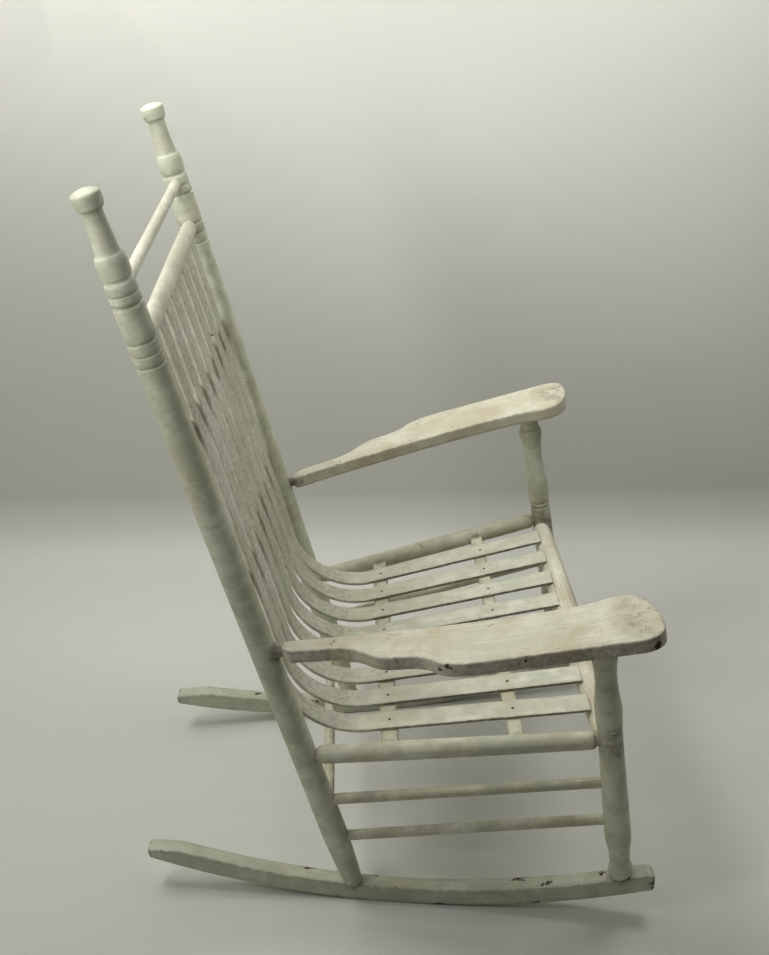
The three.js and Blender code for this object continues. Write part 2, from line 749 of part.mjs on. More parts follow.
// The outline seen from above: a narrow neck, two swept steps on the outside, a broad hand.
function armOutline() {
  const tip = ARM_LENGTH;
  const shape = new THREE.Shape();
  shape.moveTo(25, 219);
  shape.bezierCurveTo(tip - 330, 246, tip - 220, 265, tip - 100, 273);
  shape.quadraticCurveTo(tip - 70, 274, tip - 55, 270);
  shape.bezierCurveTo(tip - 14, 264, tip, 290, tip, 337);
  shape.quadraticCurveTo(tip, 364, tip - 30, 364);
  shape.lineTo(tip - 213, 344);
  shape.bezierCurveTo(tip - 240, 340, tip - 262, 336, tip - 272, 322);
  shape.bezierCurveTo(tip - 284, 308, tip - 300, 306, tip - 320, 301);
  shape.bezierCurveTo(tip - 352, 296, tip - 350, 270, tip - 394, 258);
  shape.lineTo(35, 245);
  shape.lineTo(25, 236);
  return shape;
}

// The round end that enters the rear post, set out so that it clears the post's middle.
function armTenon(side, spare) {
  const from = armPoint(REAR_POST_RADIUS - TENON_DEPTH - spare, side * ARM_TENON_HALF_GAP, 0);
  const to = armPoint(60, side * ARM_TENON_HALF_GAP, 0);
  return bar(from, to, ARM_TENON_RADIUS + spare);
}

function arm(name, side) {
  const flat = new THREE.ExtrudeGeometry(armOutline(), {
    depth: ARM_THICKNESS - 2 * ARM_EDGE,
    curveSegments: 4,
    bevelEnabled: true,
    bevelThickness: ARM_EDGE,
    bevelSize: ARM_EDGE,
    bevelOffset: -ARM_EDGE,
    bevelSegments: 1,
  });
  flat.translate(0, 0, ARM_EDGE - ARM_THICKNESS / 2);
  const placement = standing(armPoint(0, 0, 0), armUp());
  const board = solid(flat, placement);
  const sided = side > 0 ? board : board.mirror([0, 1, 0]);
  const body = sided.add(armTenon(side, 0)).subtract(armPostTenon(side, GAP));
  placement.setPosition(armPoint(0, side * ARM_TENON_HALF_GAP, 0));
  return piece(name, body, placement, CREAM);
}

// ---- The whole chair ----

function rockingChair() {
  const chair = new THREE.Group();
  chair.name = 'rocking_chair';
  for (const [label, side] of Object.entries(SIDES)) {
    chair.add(rocker(`rocker_${label}`, side));
    chair.add(rearPost(`rear_post_${label}`, side));
    chair.add(frontPost(`front_post_${label}`, side));
    chair.add(sideRail(`side_seat_rail_${label}`, side));
    chair.add(rung(`upper_side_stretcher_${label}`, upperRungLine(side), RUNG_RADIUS));
    chair.add(rung(`lower_side_stretcher_${label}`, lowerRungLine(side), RUNG_RADIUS));
    chair.add(arm(`arm_${label}`, side));
  }
  chair.add(rung('rear_stretcher', rearRungLine(), RUNG_RADIUS));
  chair.add(rung('crest_dowel', crestLine(), CREST_RADIUS));
  chair.add(frontRail('front_seat_rail'));
  chair.add(upperRail('upper_back_rail'));
  chair.add(backBatten('upper_back_batten', UPPER_BATTEN_AT));
  chair.add(backBatten('lower_back_batten', LOWER_BATTEN_AT));
  chair.add(seatBatten('rear_seat_batten', REAR_BATTEN_X, REAR_BATTEN_WIDTH));
  chair.add(seatBatten('mid_seat_batten', MID_BATTEN_X, MID_BATTEN_WIDTH));
  slatOffsets().forEach((offset, i) => {
    chair.add(slat(`slat_${i + 1}`, offset));
    const [rear, mid] = nailSpots(offset);
    chair.add(nail(`rear_nail_${i + 1}`, rear));
    chair.add(nail(`mid_nail_${i + 1}`, mid));
  });
  return chair;
}

export default rockingChair();
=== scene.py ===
# %% [markdown]
# A slat-backed rocking chair in old ivory paint. This lesson rebuilds each wooden piece with the
# shape, grain and wear that a maker's eye looks for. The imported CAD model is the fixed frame: every
# piece here stands for one of its nodes and keeps its size. Lengths are set in millimetres, as on a
# joiner's drawing, and become metres only when a mesh is made.

# %% Open the frame
import json
import math
import random

import bmesh
import bpy
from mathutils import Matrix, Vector

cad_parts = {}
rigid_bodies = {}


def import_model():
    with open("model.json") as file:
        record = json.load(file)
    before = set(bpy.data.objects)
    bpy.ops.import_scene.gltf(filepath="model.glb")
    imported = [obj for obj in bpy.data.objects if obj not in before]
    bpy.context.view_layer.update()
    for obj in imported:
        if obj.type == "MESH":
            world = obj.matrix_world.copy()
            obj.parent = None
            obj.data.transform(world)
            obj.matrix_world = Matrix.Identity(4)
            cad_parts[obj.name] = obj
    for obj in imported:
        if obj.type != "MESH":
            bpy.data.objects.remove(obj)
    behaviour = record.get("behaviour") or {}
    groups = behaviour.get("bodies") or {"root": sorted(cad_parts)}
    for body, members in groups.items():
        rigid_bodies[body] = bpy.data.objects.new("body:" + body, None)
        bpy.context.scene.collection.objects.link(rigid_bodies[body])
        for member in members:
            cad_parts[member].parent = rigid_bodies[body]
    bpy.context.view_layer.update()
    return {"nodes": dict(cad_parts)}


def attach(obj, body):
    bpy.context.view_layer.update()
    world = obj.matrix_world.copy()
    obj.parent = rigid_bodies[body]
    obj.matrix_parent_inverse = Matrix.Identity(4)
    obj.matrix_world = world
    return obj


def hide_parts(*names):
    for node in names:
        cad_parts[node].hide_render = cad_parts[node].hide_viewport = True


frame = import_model()
MM = 0.001
print("CAD nodes:", len(frame["nodes"]))

# %% [markdown]
# A chair is set out on lines before any wood is cut. Each post is a straight line that leans back
# and splays out from its foot on the rocker. The rails, rungs and arms then run between points on
# those lines, so one change to a post carries everything that is jointed to it.

# %% Setting-out lines
def rad(degrees):
    return math.radians(degrees)


ROCKER_RADIUS, ROCKER_DEPTH, ROCKER_WIDTH = 1131, 28.7, 24
# the worn flat under each rocker, its middle in X, and the arc's centre above it
FLAT, ARC_X = 44, 2
ARC_Z = math.sqrt(ROCKER_RADIUS ** 2 - FLAT ** 2 / 4)
POST_R, BUTTON_R, REAR_POST_LENGTH = 18, 16.2, 1036
BACK_LEAN = 14.5
# heights where a member's axis meets the rear and the front post
SEAT_RAIL_Z, UPPER_RUNG_Z, LOWER_RUNG_Z = (273, 345.4), (191, 266), (121, 193)
REAR_RUNG_Z, FRONT_RAIL_Z, ARM_REAR_Z = 157, 335, 448.5
# places along the rear posts, from the foot
BACK_RAIL_AT, CREST_AT = 873, 935
BACK_BATTENS = {"upper": 720, "lower": 497}
# from the rails' axes out to the face of the slats
SEAT_RISE, BACK_RISE = 8.5, 3


def arc_z(x, radius):
    """Height of a rocker arc of that radius above the floor."""
    return ARC_Z - math.sqrt(radius ** 2 - (x - ARC_X) ** 2)


def rocker_top(x):
    return arc_z(x, ROCKER_RADIUS - ROCKER_DEPTH)


class PostLine:
    """The axis of a post: a foot on the rocker and a way up."""

    def __init__(self, side, foot_x, half_gap, lean, splay):
        self.side = side
        self.foot = Vector((foot_x, side * half_gap, rocker_top(foot_x)))
        self.way = Vector((-math.tan(rad(lean)), side * math.tan(rad(splay)), 1)).normalized()

    def along(self, distance):
        return self.foot + self.way * distance

    def at_height(self, z):
        return self.along((z - self.foot.z) / self.way.z)


SIDES = {"left": 1, "right": -1}
REAR = {s: PostLine(s, foot_x=-63, half_gap=212, lean=BACK_LEAN, splay=1.37)
        for s in SIDES.values()}
FRONT = {s: PostLine(s, foot_x=315, half_gap=254, lean=9.6, splay=6.2)
         for s in SIDES.values()}


def between(a, b, inset=9):
    """The two ends of a member whose tenons stop short of the post axes."""
    way = (b - a).normalized()
    return a + way * inset, b - way * inset


BACK_UP = Vector((-math.sin(rad(BACK_LEAN)), 0, math.cos(rad(BACK_LEAN))))
BACK_FRONT = Vector((BACK_UP.z, 0, -BACK_UP.x))
RAIL = {s: between(REAR[s].at_height(SEAT_RAIL_Z[0]), FRONT[s].at_height(SEAT_RAIL_Z[1]))
        for s in SIDES.values()}
SEAT_RUN = RAIL[1][1] - RAIL[1][0]
SEAT_RUN = Vector((SEAT_RUN.x, 0, SEAT_RUN.z)).normalized()
SEAT_UP = Vector((-SEAT_RUN.z, 0, SEAT_RUN.x))
SEAT_SLOPE = math.atan2(SEAT_RUN.z, SEAT_RUN.x)


def on_seat(x, rise=0.0):
    """A point of the seat surface on the middle plane, at a given X."""
    base = REAR[1].at_height(SEAT_RAIL_Z[0])
    base.y = 0
    base += SEAT_UP * (SEAT_RISE + rise)
    return base + SEAT_RUN * ((x - base.x) / SEAT_RUN.x)


def on_back(distance, rise=0.0):
    """A point of the back surface on the middle plane, at a distance along the posts."""
    base = REAR[1].along(distance)
    base.y = 0
    return base + BACK_FRONT * (BACK_RISE + rise)


print("seat slope %.1f degrees, rear post top at %.0f mm"
      % (math.degrees(SEAT_SLOPE), REAR[1].along(REAR_POST_LENGTH).z))

# %% [markdown]
# Nearly every piece of this chair is a stretched ring: a turned post is a stack of circles, a slat
# or rocker is a rounded oblong carried along a curve. One loft therefore makes them all. It lays a
# UV map in metres, with V along the wood, because old paint shows its brush marks along the grain.

# %% The loft
def shade_smooth(mesh, degrees=40):
    mesh.polygons.foreach_set("use_smooth", [True] * len(mesh.polygons))
    edit = bmesh.new()
    edit.from_mesh(mesh)
    bmesh.ops.recalc_face_normals(edit, faces=edit.faces)
    for edge in edit.edges:
        edge.smooth = len(edge.link_faces) == 2 and edge.calc_face_angle(0) < rad(degrees)
    edit.to_mesh(mesh)
    edit.free()


def loft(name, rings, smooth=40):
    """A closed solid through rings of points in millimetres, with a cap on each end."""
    count = len(rings[0])
    points = [p * MM for ring in rings for p in ring]
    faces, coords = [], []
    run = 0.0
    runs = [0.0]
    for one, two in zip(rings, rings[1:]):
        run += sum((q - p).length for p, q in zip(one, two)) / count
        runs.append(run)
    girth = [0.0]
    widest = max(rings, key=lambda r: sum((r[i] - r[i - 1]).length for i in range(count)))
    for i in range(count):
        girth.append(girth[-1] + (widest[(i + 1) % count] - widest[i]).length)
    for j in range(len(rings) - 1):
        for i in range(count):
            k = (i + 1) % count
            faces.append((j * count + i, j * count + k, (j + 1) * count + k, (j + 1) * count + i))
            u0, u1, v0, v1 = girth[i], girth[i + 1], runs[j], runs[j + 1]
            coords += [(u0, v0), (u1, v0), (u1, v1), (u0, v1)]
    last = (len(rings) - 1) * count
    for ring, start, flip in ((rings[0], 0, True), (rings[-1], last, False)):
        middle = sum(ring, Vector()) / count
        order = list(range(count))
        face = [start + i for i in order]
        if flip:
            face.reverse()
            order.reverse()
        faces.append(tuple(face))
        spokes = [point - middle for point in ring]
        side, turn = spokes[0].normalized(), spokes[count // 4].normalized()
        coords += [(spokes[i].dot(side), spokes[i].dot(turn)) for i in order]
    mesh = bpy.data.meshes.new(name)
    mesh.from_pydata(points, [], faces)
    layer = mesh.uv_layers.new(name="grain")
    for loop, (u, v) in zip(layer.data, coords):
        loop.uv = (u * MM, v * MM)
    shade_smooth(mesh, smooth)
    piece = bpy.data.objects.new(name, mesh)
    bpy.context.scene.collection.objects.link(piece)
    return piece


def axes_along(way):
    """Two directions square to a way, the first in the chair's XZ plane."""
    across = Vector((0, 1, 0)) - way * way.y
    if across.length < 0.1:
        across = Vector((0, 0, 1)) - way * way.z
    across.normalize()
    return across.cross(way), across


random.seed(7)


def turned(name, at, way, profile, sides=40, wobble=0.12):
    """A turned piece from pairs of distance along its axis and radius."""
    right, up = axes_along(way)
    phase = random.uniform(0, 6)
    rings = []
    for h, r in profile:
        ring = []
        for i in range(sides):
            a = 2 * math.pi * i / sides
            out = r + wobble * math.sin(2 * a + phase + h / 90) * min(1, r / 5)
            ring.append(at + way * h + right * (out * math.cos(a)) + up * (out * math.sin(a)))
        rings.append(ring)
    return loft(name, rings, smooth=50)


def rounded_oblong(width, height, corner, steps=3, flats=(4, 3)):
    """The outline of a board's end grain, round its corners, as (across, up) pairs."""
    corner = min(corner, width / 2 - 0.01, height / 2 - 0.01)
    outline = []
    for quarter, (sx, sy) in enumerate(((1, 1), (-1, 1), (-1, -1), (1, -1))):
        for k in range(steps + 1):
            a = math.pi / 2 * (quarter + k / steps)
            outline.append((sx * (width / 2 - corner) + corner * math.cos(a),
                            sy * (height / 2 - corner) + corner * math.sin(a)))
        # points along the flat to the next corner, so wear can be painted between
        nx, ny = ((-1, 1), (-1, -1), (1, -1), (1, 1))[quarter]
        a = math.pi / 2 * (quarter + 1)
        x0, y0 = outline[-1]
        x1 = nx * (width / 2 - corner) + corner * math.cos(a)
        y1 = ny * (height / 2 - corner) + corner * math.sin(a)
        parts = flats[quarter % 2]
        outline += [(x0 + (x1 - x0) * k / parts, y0 + (y1 - y0) * k / parts)
                    for k in range(1, parts)]
    return outline


# %% [markdown]
# A turner works from a profile: beads, coves and scored rings at marked distances. The little class
# below reads the same way. It collects straight runs and soft curves, then resamples them closely,
# so that wear can be painted between the marks.

# %% Turning profiles
class Profile:
    """Pairs of distance and radius, built up from the foot."""

    def __init__(self, h, r):
        self.marks = [(h, r)]

    def line(self, r, h):
        self.marks.append((h, r))
        return self

    def curve(self, r1, h1, r2, h2, steps=9):
        h0, r0 = self.marks[-1]
        for k in range(1, steps + 1):
            t = k / steps
            self.marks.append(((1 - t) ** 2 * h0 + 2 * t * (1 - t) * h1 + t * t * h2,
                               (1 - t) ** 2 * r0 + 2 * t * (1 - t) * r1 + t * t * r2))
        return self

    def groove(self, r, at, depth, width):
        self.line(r, at - width / 2)
        self.curve(r - 0.2, at - width / 4, r - depth, at - width / 12, 3)
        self.line(r - depth, at + width / 12)
        return self.curve(r - 0.2, at + width / 4, r, at + width / 2, 3)

    def close(self, step=6.0):
        """Adds marks so that none is more than a step from the next."""
        out = [self.marks[0]]
        for (h0, r0), (h1, r1) in zip(self.marks, self.marks[1:]):
            parts = max(1, math.ceil(abs(h1 - h0) / step))
            out += [(h0 + (h1 - h0) * k / parts, r0 + (r1 - r0) * k / parts)
                    for k in range(1, parts + 1)]
        return out


def seat_foot(piece, line, blend=22):
    """Lets a post's foot follow the rocker's curved top, fading out up the post."""
    for v in piece.data.vertices:
        p = v.co / MM
        h = (p - line.foot).dot(line.way)
        if h < blend:
            t = 1 - max(h, 0) / blend
            base = p - line.way * h
            lift = (rocker_top(base.x) - base.z) / line.way.z
            v.co = (p + line.way * (lift * t)) * MM
    piece.data.update()


# %% [markdown]
# The rear posts are the chair's tallest pieces: a plain shaft, three scored rings, a drum that takes
# the back rail, a bead, then a long taper to the button. A turned post is the same all round, so
# its profile is all that has to be drawn.

# %% Rear posts
def rear_profile():
    r, rim = POST_R, REAR_POST_LENGTH
    p = Profile(-3, 0.6 * r)
    p.line(0.70 * r, 0).curve(0.80 * r, 10, 0.87 * r, 45).line(r, 95).line(0.97 * r, rim - 236)
    p.groove(0.98 * r, rim - 190, 1.8, 6).groove(0.99 * r, rim - 176, 1.5, 5)
    p.groove(r, rim - 161, 2.0, 6).groove(r, rim - 118, 3.2, 7)
    p.groove(0.975 * r, rim - 105.5, 1.1, 4.5)
    p.line(0.98 * r, rim - 96).curve(0.98 * r, rim - 92.8, 0.93 * r, rim - 92)
    p.line(0.84 * r, rim - 89.7).line(0.84 * r, rim - 88.6)
    p.curve(0.94 * r, rim - 87.5, 0.975 * r, rim - 82).curve(1.0 * r, rim - 75, 0.965 * r, rim - 68)
    p.curve(0.93 * r, rim - 62.5, 0.83 * r, rim - 61).curve(0.765 * r, rim - 60, 0.75 * r, rim - 55)
    p.line(0.645 * r, rim - 22).curve(0.635 * r, rim - 15, 0.69 * r, rim - 12.5)
    p.curve(0.86 * r, rim - 12, 15.6, rim - 7.5).line(BUTTON_R, rim - 4).line(BUTTON_R, rim + 2.5)
    p.curve(BUTTON_R, rim + 5.5, 13.6, rim + 6.8).curve(8, rim + 9.8, 1.0, rim + 10.2)
    return p.close()


for label, side in SIDES.items():
    line = REAR[side]
    post = turned(f"rear_post_wood_{label}", line.foot, line.way, rear_profile())
    seat_foot(post, line)
    print(post.name, len(post.data.polygons), "faces")

# %% [markdown]
# The front posts are squatter, with a bulbous foot, two scored rings, and a waist that flares to a
# collar under the arm. Each one ends where it meets the sloping arm, so its length is worked out
# from the arm's line and not guessed.

# %% Front posts
ARM_SLOPE, ARM_THICK, ARM_TIP = 12.85, 19.5, 485
ARM_RUN = Vector((math.cos(rad(ARM_SLOPE)), 0, math.sin(rad(ARM_SLOPE))))
ARM_UP = Vector((-ARM_RUN.z, 0, ARM_RUN.x))


def arm_point(run, out, rise):
    """A point of an arm: along it from the rear post, out from the middle plane, and up."""
    base = REAR[1].at_height(ARM_REAR_Z)
    base.y = 0
    return base + ARM_RUN * run + ARM_UP * rise + Vector((0, out, 0))


def front_length(side):
    line = FRONT[side]
    return (arm_point(0, 0, -ARM_THICK / 2) - line.foot).dot(ARM_UP) / line.way.dot(ARM_UP)


def front_profile(top):
    r = POST_R
    p = Profile(-3, 0.6 * r)
    p.line(0.68 * r, 0).curve(1.05 * r, 8, 0.90 * r, 20).curve(0.75 * r, 28, 0.78 * r, 42)
    p.curve(0.85 * r, 66, r, 80).line(0.97 * r, 150).line(0.89 * r, top - 190)
    p.groove(0.9 * r, top - 166, 1.6, 5).groove(0.92 * r, top - 158, 1.9, 5)
    p.curve(1.06 * r, top - 134, 0.93 * r, top - 118).curve(0.82 * r, top - 100, 13.9, top - 84)
    p.curve(13.9, top - 52, 18.5, top - 35).curve(18.7, top - 26, 15.2, top - 24)
    p.line(14.8, top + 3)
    return p.close()


for label, side in SIDES.items():
    line = FRONT[side]
    profile = front_profile(front_length(side))
    post = turned(f"front_post_wood_{label}", line.foot, line.way, profile)
    seat_foot(post, line)
    print(post.name, len(post.data.polygons), "faces")

# %% [markdown]
# The rungs are plain dowels. The rails are thicker, with a rounded shoulder where they meet a post
# and a slight swelling at the middle. The front rail is a fat barrel with a step cut along its back
# for the slats' ends, and its top is planed flat, level with the seat. Both cuts are made by
# pulling every point that lies inside the waste wood out to the face of the cut.

# %% Rungs and rails
def rung(name, a, b, r):
    start, end = between(a, b)
    length = (end - start).length
    p = Profile(0, r * 0.97).line(r, 10).line(r * 1.02, length / 2)
    p.line(r, length - 10).line(r * 0.97, length)
    return turned(name, start, (end - start).normalized(), p.close(9), 24, 0.15)


def rail_profile(length, tenon, end, middle):
    p = Profile(0, tenon).line(tenon, 9.5).curve(end, 9.8, end, 17.5)
    p.curve(2 * middle - end, length / 2, end, length - 17.5, 30)
    return p.curve(end, length - 9.8, tenon, length - 9.5).line(tenon, length).close(9)


def rail(name, start, end, shoulder, middle, sides=32, wobble=0.3):
    length = (end - start).length
    profile = rail_profile(length, TENON_R, shoulder, middle)
    return turned(name, start, (end - start).normalized(), profile, sides, wobble)


RUNG_R, CREST_R, TENON_R = 7.5, 7.3, 8
for label, side in SIDES.items():
    for name, (rear_z, front_z) in (("upper", UPPER_RUNG_Z), ("lower", LOWER_RUNG_Z)):
        rung(f"{name}_side_rung_{label}", REAR[side].at_height(rear_z),
             FRONT[side].at_height(front_z), RUNG_R)
    rail(f"side_rail_wood_{label}", *RAIL[side], 12, 13)
rung("rear_rung", REAR[-1].at_height(REAR_RUNG_Z), REAR[1].at_height(REAR_RUNG_Z), RUNG_R)
rung("crest_dowel_wood", REAR[-1].along(CREST_AT), REAR[1].along(CREST_AT), CREST_R)
ends = between(REAR[-1].along(BACK_RAIL_AT), REAR[1].along(BACK_RAIL_AT))
rail("upper_back_rail_wood", *ends, 10.5, 11.5, wobble=0.2)

SEAT_FRONT_X, SLAT_THICK, SLAT_WIDE, GAP = 254, 4.5, 34, 0.3
set_back = Vector((-5, 0, 0))
ends = between(FRONT[-1].at_height(FRONT_RAIL_Z) + set_back,
               FRONT[1].at_height(FRONT_RAIL_Z) + set_back, 8.9)
front_rail = rail("front_rail_wood", *ends, 13.5, 19, 64, 0.1)
corner = on_seat(SEAT_FRONT_X, -SLAT_THICK - GAP) + SEAT_RUN * GAP
for v in front_rail.data.vertices:
    p = v.co / MM - corner
    back, up = -p.dot(SEAT_RUN), p.dot(SEAT_UP)
    if back > 0 and up > 0:
        v.co += (SEAT_RUN * back if back < up else SEAT_UP * -up) * MM
planed_top = on_seat(SEAT_FRONT_X, -1.2)
for v in front_rail.data.vertices:
    proud = (v.co / MM - planed_top).dot(SEAT_UP)
    if proud > 0:
        v.co -= SEAT_UP * proud * MM
shade_smooth(front_rail.data, 35)
print("front rail", len(front_rail.data.polygons), "faces")

# %% [markdown]
# Each rocker is sawn from a plank: an arc on both long edges, straight in plan and toed out. At the
# tail the top is cut flat, which thins it to a blunt end, and the nose has a short slope. A rounded
# oblong carried along the arc gives the softened edges that show the wear.

# %% Rockers
TAIL_X, NOSE_X = -360, 360
TAIL_TALL, SLOPE_X, SLOPE_DROP = 14, NOSE_X - 12, 6
END_ROUND = 2.5


def rocker_y(x):
    """How far a rocker's middle line is from the chair's middle plane."""
    return 216.4 + 0.119 * x


def rocker_section(x):
    """The underside and top heights of a rocker at a given X."""
    low = max(arc_z(x, ROCKER_RADIUS), 0)
    high = rocker_top(x)
    if x < 0:
        high = min(high, arc_z(TAIL_X, ROCKER_RADIUS) + TAIL_TALL)
    if x > SLOPE_X:
        high -= (x - SLOPE_X) / (NOSE_X - SLOPE_X) * SLOPE_DROP
    return low, high


for label, side in SIDES.items():
    rings = []
    ends_in = (0, 0.8, END_ROUND)
    marks = [TAIL_X + d for d in ends_in] + list(range(TAIL_X + 6, NOSE_X, 6))
    marks += [NOSE_X - d for d in reversed(ends_in)]
    for x in marks:
        low, high = rocker_section(x)
        y = side * rocker_y(x)
        end_in = max(0, END_ROUND - min(x - TAIL_X, NOSE_X - x)) * 0.8
        wide, tall = ROCKER_WIDTH - 2 * end_in, high - low - 2 * end_in
        rings.append([Vector((x, y + s, (low + high) / 2 + u))
                      for s, u in rounded_oblong(wide, tall, 2.4, 3, (5, 5))])
    loft(f"rocker_wood_{label}", rings, 35)

# %% [markdown]
# The arms are flat boards sawn to an outline: a narrow neck at the rear post, two swept steps on the
# outside, then a broad hand. The outline's two edges are curves, and the loft joins them across,
# with rounded long edges. The neck ends in a chamfer and a round tenon.

# %% Arms
def bezier(p0, p1, p2, p3, steps=14):
    return [tuple((1 - t) ** 3 * a + 3 * t * (1 - t) ** 2 * b + 3 * t * t * (1 - t) * c + t ** 3 * d
                  for a, b, c, d in zip(p0, p1, p2, p3)) for t in [k / steps for k in range(steps + 1)]]


T = ARM_TIP
HEEL, HAND_ROUND, TIP_ROUND = 25, 45, 4
INNER = (bezier((HEEL, 219), (T - 330, 246), (T - 220, 265), (T - 100, 273))
         + bezier((T - 100, 273), (T - 80, 273.7), (T - 65, 272.7), (T - 55, 270))
         + bezier((T - 55, 270), (T - 14, 264), (T, 290), (T, 337)))
OUTER = ([(HEEL, 236), (HEEL + 10, 245)]
         + bezier((T - 394, 258), (T - 350, 270), (T - 352, 296), (T - 320, 301))
         + bezier((T - 320, 301), (T - 300, 306), (T - 284, 308), (T - 272, 322))
         + bezier((T - 272, 322), (T - 262, 336), (T - 240, 340), (T - 213, 344))
         + [(T - 30, 364)] + bezier((T - 30, 364), (T - 10, 364), (T, 355), (T, 337)))


def edge_at(points, u):
    """The outline's distance from the middle plane at a run along the arm."""
    for (u0, v0), (u1, v1) in zip(points, points[1:]):
        if u0 <= u <= u1 and u1 > u0:
            return v0 + (v1 - v0) * (u - u0) / (u1 - u0)
    return points[-1][1] if u > points[-1][0] else points[0][1]


for label, side in SIDES.items():
    runs = [HEEL, HEEL + 0.6, HEEL + 2] + list(range(HEEL + 5, T - HAND_ROUND + 1, 5))
    runs += [T - HAND_ROUND + HAND_ROUND * math.sin(math.pi / 2 * k / 26) for k in range(1, 27)]
    rings = []
    for u in runs:
        inner, outer = edge_at(INNER, u), edge_at(OUTER, u)
        if u >= T - 0.01:
            inner, outer = 334, 340
        # the heel's chamfer, then the hand's rounded end
        shrink = max(0, 1 - (u - HEEL) / 4) * 1.5
        middle, wide = (inner + outer) / 2, outer - inner - 2 * shrink
        tall = ARM_THICK - 2 * shrink
        soft = min(2.2, wide / 2)
        if u > T - TIP_ROUND:
            tall -= 5 * (1 - math.sqrt(max(0, 1 - ((u - T + TIP_ROUND) / TIP_ROUND) ** 2)))
        outline = rounded_oblong(wide, tall, soft, 3, (14, 4))
        rings.append([arm_point(u, side * (middle + s), h) for s, h in outline])
    loft(f"arm_wood_{label}", rings, 45)
    start = arm_point(9, side * 227.5, 0)
    peg = Profile(0, 6.8).line(7, 3).line(7, 30)
    turned(f"arm_peg_{label}", start, ARM_RUN, peg.close(), 24, 0.1)
print("arm outline", len(INNER), "+", len(OUTER), "marks")

# %% [markdown]
# Battens are short flat bars. The two seat battens lie under the slats and enter the side rails. The
# two back battens lie behind the slats and are let into the rear posts. Their edges are rubbed
# round, so they are lofts too.

# %% Battens
def batten(name, middle, half, way_up, wide, tall, corner=1.6):
    across = Vector((0, 1, 0)).cross(way_up).normalized()
    outline = rounded_oblong(wide, tall, corner, 3)
    marks = [-half + 2 * half * k / 60 for k in range(61)]
    rings = [[middle + Vector((0, y, 0)) + across * s + way_up * u for s, u in outline] for y in marks]
    return loft(name, rings, 40)


def rail_gap(x):
    """Half the distance between the side rails' axes at a given X."""
    start, end = RAIL[1]
    return start.y + (end.y - start.y) * (x - start.x) / (end.x - start.x)


SEAT_BATTEN_TALL, BACK_BATTEN_THICK, BACK_BATTEN_TALL = 16, 8, 28
BATTENS = {"rear": (-10, 23), "mid": (155, 20)}
for label, (x, wide) in BATTENS.items():
    middle = on_seat(x, -SLAT_THICK - GAP - SEAT_BATTEN_TALL / 2)
    batten(f"{label}_seat_batten_wood", middle, rail_gap(x) - 5, SEAT_UP, wide,
           SEAT_BATTEN_TALL, 2.2)
for label, at in BACK_BATTENS.items():
    middle = on_back(at, -SLAT_THICK - GAP - BACK_BATTEN_THICK / 2)
    half = REAR[1].along(at).y - 9
    batten(f"{label}_back_batten_wood", middle, half, BACK_UP, BACK_BATTEN_THICK,
           BACK_BATTEN_TALL)
print("battens:", len(BATTENS), "under the seat,", len(BACK_BATTENS), "behind the back")

# %% [markdown]
# Now the node work. Both geometry and shader trees are written through two small helpers. Bench
# makes any node from its type, its settings and its sockets. Wire wraps a socket so that sums can
# be written as sums, and each one adds its Math node.

# %% Bench and Wire
class Wire:
    """A number socket that can be used in Python expressions."""

    def __init__(self, tree, socket):
        self.tree, self.socket = tree, socket

    def _math(self, operation, *values, clamp=False):
        node = self.tree.nodes.new("ShaderNodeMath")
        node.operation, node.use_clamp = operation, clamp
        for slot, value in zip(node.inputs, values):
            if isinstance(value, Wire):
                self.tree.links.new(value.socket, slot)
            else:
                slot.default_value = value
        return Wire(self.tree, node.outputs[0])

    def __add__(self, other): return self._math("ADD", self, other)
    def __radd__(self, other): return self._math("ADD", other, self)
    def __sub__(self, other): return self._math("SUBTRACT", self, other)
    def __rsub__(self, other): return self._math("SUBTRACT", other, self)
    def __mul__(self, other): return self._math("MULTIPLY", self, other)
    def __rmul__(self, other): return self._math("MULTIPLY", other, self)
    def __truediv__(self, other): return self._math("DIVIDE", self, other)
    def at_least(self, other): return self._math("MAXIMUM", self, other)
    def at_most(self, other): return self._math("MINIMUM", self, other)
    def cosine(self): return self._math("COSINE", self)
    def sine(self): return self._math("SINE", self)
    def kept(self): return self._math("ADD", self, 0.0, clamp=True)

    def step(self, low, high):
        """0 below low, 1 above high, and smooth between."""
        node = self.tree.nodes.new("ShaderNodeMapRange")
        node.interpolation_type = "SMOOTHSTEP"
        self.tree.links.new(self.socket, node.inputs["Value"])
        node.inputs["From Min"].default_value = low
        node.inputs["From Max"].default_value = high
        return Wire(self.tree, node.outputs[0])


class Bench:
    """A node tree and the one method that adds a node to it."""

    def __init__(self, tree):
        self.tree = tree

    def node(self, kind, settings=None, sockets=None, out=0):
        made = self.tree.nodes.new(kind)
        for key, value in (settings or {}).items():
            setattr(made, key, value)
        for key, value in (sockets or {}).items():
            slot = made.inputs[key]
            if isinstance(value, Wire):
                self.tree.links.new(value.socket, slot)
            elif hasattr(value, "is_output"):
                self.tree.links.new(value, slot)
            else:
                slot.default_value = value
        if out is None:
            return made
        return Wire(self.tree, made.outputs[out])


def set_input(modifier, tree, name, value):
    """Sets a modifier's input by its socket's identifier."""
    for item in tree.interface.items_tree:
        if item.item_type == "SOCKET" and item.in_out == "INPUT" and item.name == name:
            modifier[item.identifier] = value
            return
    raise KeyError(name)


